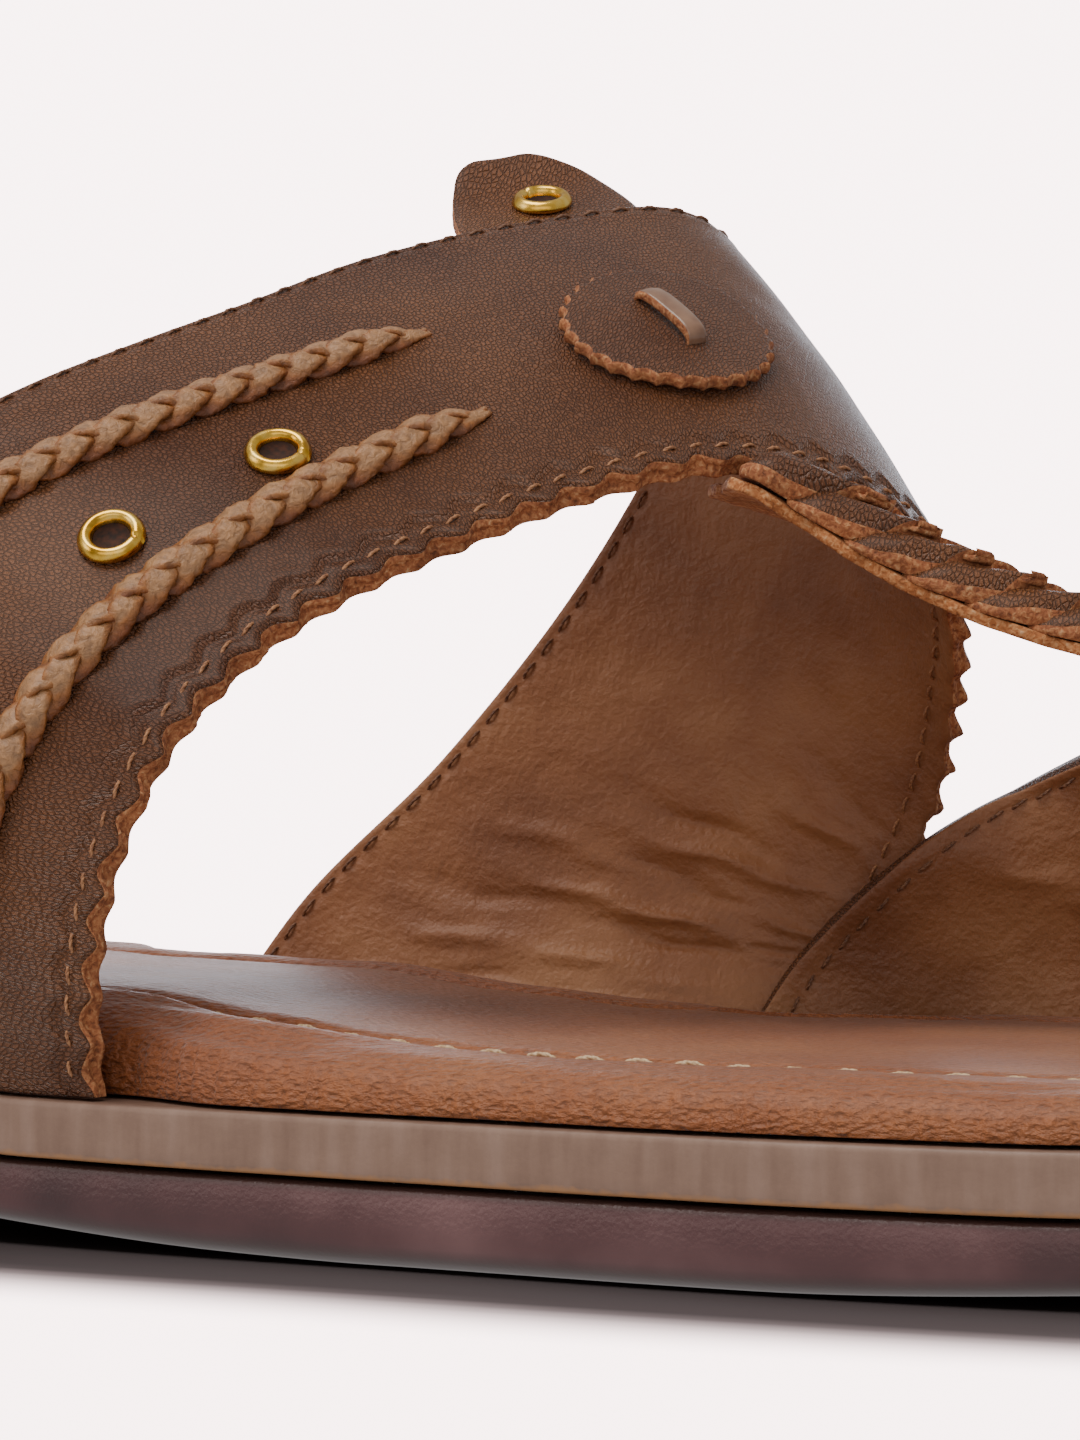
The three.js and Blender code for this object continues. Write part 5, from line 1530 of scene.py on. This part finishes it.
def make_disc():
    """Rings from the disc's lower edge over its scallops to its middle, closed below."""
    count = DISC_SCALLOPS * SCALLOP_STEPS
    angle = 2 * np.pi * np.arange(count) / count
    bite = SCALLOP_DEPTH * np.abs(np.sin(DISC_SCALLOPS * angle / 2)) ** 0.8
    points = []
    for share, height, biting in DISC_PROFILE:
        radius = share * DISC_RADIUS - bite * biting
        if share > RAW_FROM:
            x, y = radius * np.cos(angle), radius * np.sin(angle)
            radius = radius * (1 + 0.06 * wave(x, y, height * 3, seed=71, size=0.9) / DISC_RADIUS)
        points.extend(over_strap(DISC_PLACE, radius * np.cos(angle), radius * np.sin(angle), height))
    points.append(over_strap(DISC_PLACE, 0.0, 0.0, DISC_TOP + DISC_CROWN))
    points.append(over_strap(DISC_PLACE, 0.0, 0.0, DISC_LOW))
    faces = []
    zones = []
    for level in range(len(DISC_PROFILE) - 1):
        first = level * count
        for i in range(count):
            n = (i + 1) % count
            faces.append((first + i, first + n, first + count + n, first + count + i))
            zones.append(1 if level < RAW_DISC_RINGS else 0)
    top = (len(DISC_PROFILE) - 1) * count
    for i in range(count):
        n = (i + 1) % count
        faces.append((top + i, top + n, len(points) - 2))
        zones.append(0)
        faces.append((n, i, len(points) - 1))
        zones.append(1)
    part = facing_out((np.array(points), faces, zones))
    disc = merged("scalloped_disc", [part], [brown_leather, rust_edge])
    follow_grain(disc, (1.2, 0, 0), (0, 1, 0))
    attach(disc, "root")
    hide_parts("disc")


def thong_leather():
    """The thong's own hide: smooth, paler and glossier than the disc, with cloudy wear."""
    material, shader, place = new_material("worn_thong_leather", "#7d5d49", 0.34, Coat_Weight=0.3)
    wear = add_node(material, "ShaderNodeTexNoise", None, {"Vector": place, "Scale": 500.0, "Detail": 4.0})
    tone = add_node(material, "ShaderNodeValToRGB", {"ramp": [(0.3, "#6f4d39"), (0.7, "#937058")]},
                    {"Fac": wear.outputs["Fac"]})
    material.node_tree.links.new(tone.outputs["Color"], shader.inputs["Base Color"])
    return material


THONG_HALF_LENGTH = 4.1
THONG_HALF_WIDTH = 0.95
THONG_THICK = 0.8
THONG_RISE = 1.3
THONG_TURN = 0.27


def make_disc_thong():
    """A flat thong that arches over the disc's middle and dips into it at both ends."""
    seat = DISC_TOP + DISC_CROWN + 0.25
    u = np.linspace(-1, 1, 25)[:, None]
    v = np.linspace(-1, 1, 9)[None, :]
    run = THONG_HALF_LENGTH * np.sin(u * math.pi / 2)
    aside = THONG_HALF_WIDTH * v * (1 - 0.06 * np.abs(u))
    height = seat + THONG_RISE * (1 - np.abs(u) ** 3) - 0.5 * np.abs(u) ** 6 - 0.12 * v**2
    forward = run * math.cos(THONG_TURN) - aside * math.sin(THONG_TURN)
    sideways = run * math.sin(THONG_TURN) + aside * math.cos(THONG_TURN)
    upper = over_strap(DISC_PLACE, forward, sideways, height)
    lower = over_strap(DISC_PLACE, forward, sideways, height - THONG_THICK)
    part = facing_out(closed_grid(upper, lower, side_rows=3, bulge=0.06, seed=91))
    thong = merged("disc_holding_thong", [part], [thong_leather(), rust_edge])
    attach(thong, "root")
    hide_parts("disc_thong")


make_disc()
make_disc_thong()

# Rear tab: a rounded tongue of the same leather with a raw rust-brown edge.
# It is held under the strap, comes out at the strap's rear edge and bends up a little at its free end.
TAB_THICK = 1.8
# distance forward of its eyelet, left side, right side and how far the free end bends up
TAB_ROWS = [
    (-8.5, -3.9, 0.6, 2.5),
    (-8.1, -5.1, 2, 2.3),
    (-7.3, -6.1, 3.6, 1.9),
    (-6, -6.9, 5.4, 1.2),
    (-3.6, -7.8, 7.2, 0.3),
    (0.3, -8.8, 8.8, 0),
    (4.5, -9.4, 9.6, 0),
    (9.5, -9.7, 10, 0),
    (14.5, -9.8, 10.2, 0),
]


def make_tab():
    """The tongue as a grid over its rows, with a soft roll along its border."""
    rows = along_rows(TAB_ROWS, np.linspace(0, len(TAB_ROWS) - 1, 70))
    run, left, right, bend = (rows[:, k:k + 1] for k in range(4))
    share = np.linspace(0, 1, 33)[None, :]
    sideways = right + (left - right) * share
    forward = run + 0 * share
    border = np.minimum(share, 1 - share) * (right - left)
    border = np.minimum(border, run - run[0] + 0.05)
    rolled = -0.25 * np.exp(-border / 0.35)
    row, across = strap.walk(TAB_PLACE, forward, sideways)
    depth = STRAP_WALL + GAP - bend
    soft = 0.08 * wave(forward, sideways, 0, seed=77, size=7.0)
    upper = strap.lifted(row, across, rolled + soft - depth)
    lower = strap.lifted(row, across, 0.1 - 0.3 * rolled - TAB_THICK - depth)
    part = facing_out(closed_grid(upper, lower, side_rows=5, bulge=0.1, seed=95))
    tab = merged("rear_pull_tab", [part], [brown_leather, rust_edge])
    follow_grain(tab, (1, 0, 0), (0, 1, 0))
    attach(tab, "root")
    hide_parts("rear_tab")


make_tab()

# Footbed stitches: cream thread round the footbed, along the outer lip of its channel.
# They hold the sheepskin down to the pad. Their line is the footbed's own ring at that row of its profile.
CHANNEL_ROW = 7.65
CHANNEL_PITCH = 4.4
CHANNEL_LENGTH = 2.7
CHANNEL_RISE = 0.16
CHANNEL_THREAD = 0.48
CHANNEL_LIFT = 0.14
cream_thread = thread_material("cream_waxed_thread", "#b8946c", "#dfc59f")


def make_channel_stitches():
    """Stitches at even distances round the ring, each along the ring and upright."""
    ring = footbed_ring(sole_loop(900), CHANNEL_ROW)
    closed = np.concatenate([ring, ring[:1]])
    lengths = strap.length_along(closed)
    total = lengths[-1]
    count = round(total / CHANNEL_PITCH)
    spots = (np.arange(count) + 0.5) * total / count

    def points_at(distances):
        return np.stack([np.interp(distances, lengths, column, period=total) for column in closed.T], axis=1)

    points = points_at(spots)
    along = points_at(spots + 0.5) - points
    along /= np.linalg.norm(along, axis=1, keepdims=True)
    points[:, 2] += CHANNEL_LIFT
    outward = np.tile([0.0, 0.0, 1.0], (count, 1))
    seam = grow("footbed_channel_stitches", points, {"along": along, "outward": outward}, STITCH, {
        "Length": CHANNEL_LENGTH / 1000, "Rise": CHANNEL_RISE / 1000, "Strand": CHANNEL_THREAD / 4000,
        "Material": cream_thread})
    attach(seam, "root")


make_channel_stitches()

# Room: a pale floor that fades into an even pale backdrop, soft studio light, and the photograph's camera.
# The floor has a lamp of its own, so that it is as bright as the backdrop and still takes the shoe's shadow;
# a darker strip round the sole is painted on it as shadow.
PALE = "#ffe6e6"
BLACK = "#000000"
BACKDROP_STRENGTH = 8.0
# metres from the shoe's middle where the floor starts to glow, and where it is as even as the backdrop
FLOOR_FADE = (0.25, 0.7)
BACKDROP_FADE = (-2.0, -1.0)
BACKDROP_RADIUS = 4.0
# millimetres from the sole where the darkest part of the floor's painted shadow ends, and where the floor is
# free of it
SHADOW_START = 9.0
SHADOW_END = 29.0
SHADOW_DARKEST = 0.015
# lines of the floor's grid: fine under and round the shoe, and a few far out
FINE_X = np.linspace(-260, 260, 200)
FINE_Y = np.linspace(-160, 160, 128)
FAR_OUT = np.array([600, 1500, 4000])


def grid_faces(rows, columns):
    """Quads of a grid of points stored row after row."""
    i, j = np.meshgrid(np.arange(rows - 1), np.arange(columns - 1), indexing="ij")
    a = (i * columns + j).ravel()
    return np.stack([a, a + columns, a + columns + 1, a + 1], axis=1).tolist()


def pale_material(name, fade, with_painted_shadow):
    """Matt white near the shoe that turns to an even glow further out; on the floor a shadow round the sole
    is painted into its colour.
    """
    material, shader, place = new_material(name, PALE, 1.0, Specular_IOR_Level=0.0)
    glow = add_node(material, "ShaderNodeEmission", None,
                    {"Color": linear(PALE), "Strength": BACKDROP_STRENGTH})
    flat = add_node(material, "ShaderNodeVectorMath", {"operation": "MULTIPLY"},
                    {0: place, 1: (1.0, 1.0, 0.0)})
    distance = add_node(material, "ShaderNodeVectorMath", {"operation": "LENGTH"},
                        {0: flat.outputs["Vector"]})
    share = add_node(material, "ShaderNodeMapRange", {"interpolation_type": "SMOOTHSTEP"}, {
        "Value": distance.outputs["Value"], "From Min": fade[0], "From Max": fade[1]})
    if with_painted_shadow:
        # painted shadow: the floor's colour darkens toward black round the sole
        light = add_node(material, "ShaderNodeAttribute", {"attribute_name": "outside_painted_shadow"})
        shade = add_node(material, "ShaderNodeMixRGB", None, {
            "Fac": light.outputs["Fac"], "Color1": linear(BLACK), "Color2": linear(PALE)})
        material.node_tree.links.new(shade.outputs["Color"], shader.inputs["Base Color"])
    mix = add_node(material, "ShaderNodeMixShader", None,
                   {0: share.outputs["Result"], 1: shader.outputs["BSDF"], 2: glow.outputs["Emission"]})
    end = next(node for node in material.node_tree.nodes if node.type == "OUTPUT_MATERIAL")
    material.node_tree.links.new(mix.outputs["Shader"], end.inputs["Surface"])
    return material


def stage_for_the_camera(thing):
    """Marks a part of the room, which the camera sees and which throws no light or shadow on the shoe."""
    for ray in ("diffuse", "glossy", "transmission", "volume_scatter", "shadow"):
        setattr(thing, "visible_" + ray, False)


def make_floor():
    """A level grid with a painted shadow: each point is darkened by its nearness to the sole's edge, in a
    strip round the sole.
    """
    columns = np.concatenate([-FAR_OUT[::-1], FINE_X, FAR_OUT])
    lines = np.concatenate([-FAR_OUT[::-1], FINE_Y, FAR_OUT])
    places = np.stack(np.meshgrid(columns, lines, indexing="ij"), axis=-1).reshape(-1, 2) + ORIGIN[:2]
    points = np.column_stack([places, np.zeros(len(places))])
    floor = new_mesh("studio_floor", points, grid_faces(len(columns), len(lines)),
                     [pale_material("pale_studio_floor", FLOOR_FADE, with_painted_shadow=True)])
    edge = np.stack([SOLE["x"], SOLE["y"]], axis=1)
    away = np.array([np.hypot(*(edge - place).T).min() for place in places])
    x, y = places.T
    under_sole = (x > 0) & (x < LENGTH) & (y > edge_y(x, "outer")) & (y < edge_y(x, "inner"))
    away[under_sole] = 0.0
    # painted shadow: darkest near the sole's edge, fading out further away
    light = smooth_step(SHADOW_START, SHADOW_END, away) ** 1.6
    add_numbers(floor, "outside_painted_shadow", SHADOW_DARKEST + (1 - SHADOW_DARKEST) * light)
    stage_for_the_camera(floor)
    return floor


def make_backdrop():
    """A wide dome round the shoe, seen from its inside."""
    dome_shape = bmesh.new()
    bmesh.ops.create_uvsphere(dome_shape, u_segments=48, v_segments=24, radius=BACKDROP_RADIUS)
    bmesh.ops.reverse_faces(dome_shape, faces=dome_shape.faces)
    mesh = bpy.data.meshes.new("studio_backdrop")
    dome_shape.to_mesh(mesh)
    dome_shape.free()
    mesh.materials.append(pale_material("pale_studio_backdrop", BACKDROP_FADE, with_painted_shadow=False))
    dome = bpy.data.objects.new("studio_backdrop", mesh)
    bpy.context.scene.collection.objects.link(dome)
    stage_for_the_camera(dome)


def add_light(name, place, target, size, power, colour):
    """A soft rectangular lamp, in metres and watts, that the camera doesn't see."""
    lamp = bpy.data.lights.new(name, "AREA")
    lamp.shape = "RECTANGLE"
    lamp.size, lamp.size_y = size
    lamp.energy = power
    lamp.color = linear(colour)[:3]
    light = bpy.data.objects.new(name, lamp)
    light.location = place
    light.rotation_euler = (Vector(target) - Vector(place)).to_track_quat("-Z", "Y").to_euler()
    light.visible_camera = False
    bpy.context.scene.collection.objects.link(light)
    return light


studio_floor = make_floor()
make_backdrop()
floor_only = bpy.data.collections.new("floor_light_receivers")
floor_only.objects.link(studio_floor)
floor_lamp = add_light("floor_lamp", (0.0, 0.0, 1.6), (0.0, 0.0, 0.0), (2.2, 2.2), 245.0, "#ffffff")
floor_lamp.light_linking.receiver_collection = floor_only

# The room's own light comes from all round: brightest off the pale floor below, dimmest at the horizon.
world = bpy.data.worlds.new("soft_studio_room")
bpy.context.scene.world = world
world.use_nodes = True
way = add_node(world, "ShaderNodeTexCoord").outputs["Generated"]
way_up = add_node(world, "ShaderNodeSeparateXYZ", None, {0: way})
from_below = add_node(world, "ShaderNodeMapRange", None, {"Value": way_up.outputs["Z"], "From Min": -1.0})
sky = add_node(world, "ShaderNodeValToRGB", {"ramp": [(0.3, 0.75), (0.5, 0.44), (0.8, 0.52)]},
               {"Fac": from_below.outputs["Result"]})
world.node_tree.links.new(sky.outputs["Color"], world.node_tree.nodes["Background"].inputs["Color"])

add_light("overhead_softbox", (-0.15, -0.35, 1.0), (0.0, 0.0, 0.04), (0.7, 0.5), 7.5, "#fffaf3")
add_light("front_fill", (0.35, -1.1, 0.3), (0.0, 0.0, 0.03), (1.4, 0.5), 2.5, "#fff8f0")
add_light("left_window", (-0.8, -0.8, 0.5), (0.0, 0.0, 0.04), (0.5, 0.5), 2.0, "#fff4ea")
add_light("back_panel", (-0.55, 1.2, 0.3), (0.0, 0.0, 0.03), (2.2, 0.6), 13.0, "#eef3ff")

# Camera: low beside the shoe's outer side, turned to look from the toe end and tilted up a little.
# Its lens and place give the photograph's angle and framing.
FOCAL_LENGTH = 97.5
SENSOR_WIDTH = 36
CAMERA_PLACE = (0.1496, -0.31205, 0.036)
CAMERA_TURN = math.radians(25)
CAMERA_TILT = math.radians(1.1)
lens = bpy.data.cameras.new("photo_camera")
lens.lens = FOCAL_LENGTH
lens.sensor_width = SENSOR_WIDTH
camera = bpy.data.objects.new("photo_camera", lens)
camera.location = CAMERA_PLACE
look = Vector((-math.sin(CAMERA_TURN) * math.cos(CAMERA_TILT), math.cos(CAMERA_TURN) * math.cos(CAMERA_TILT),
               math.sin(CAMERA_TILT)))
camera.rotation_euler = look.to_track_quat("-Z", "Y").to_euler()
bpy.context.scene.collection.objects.link(camera)
bpy.context.scene.camera = camera
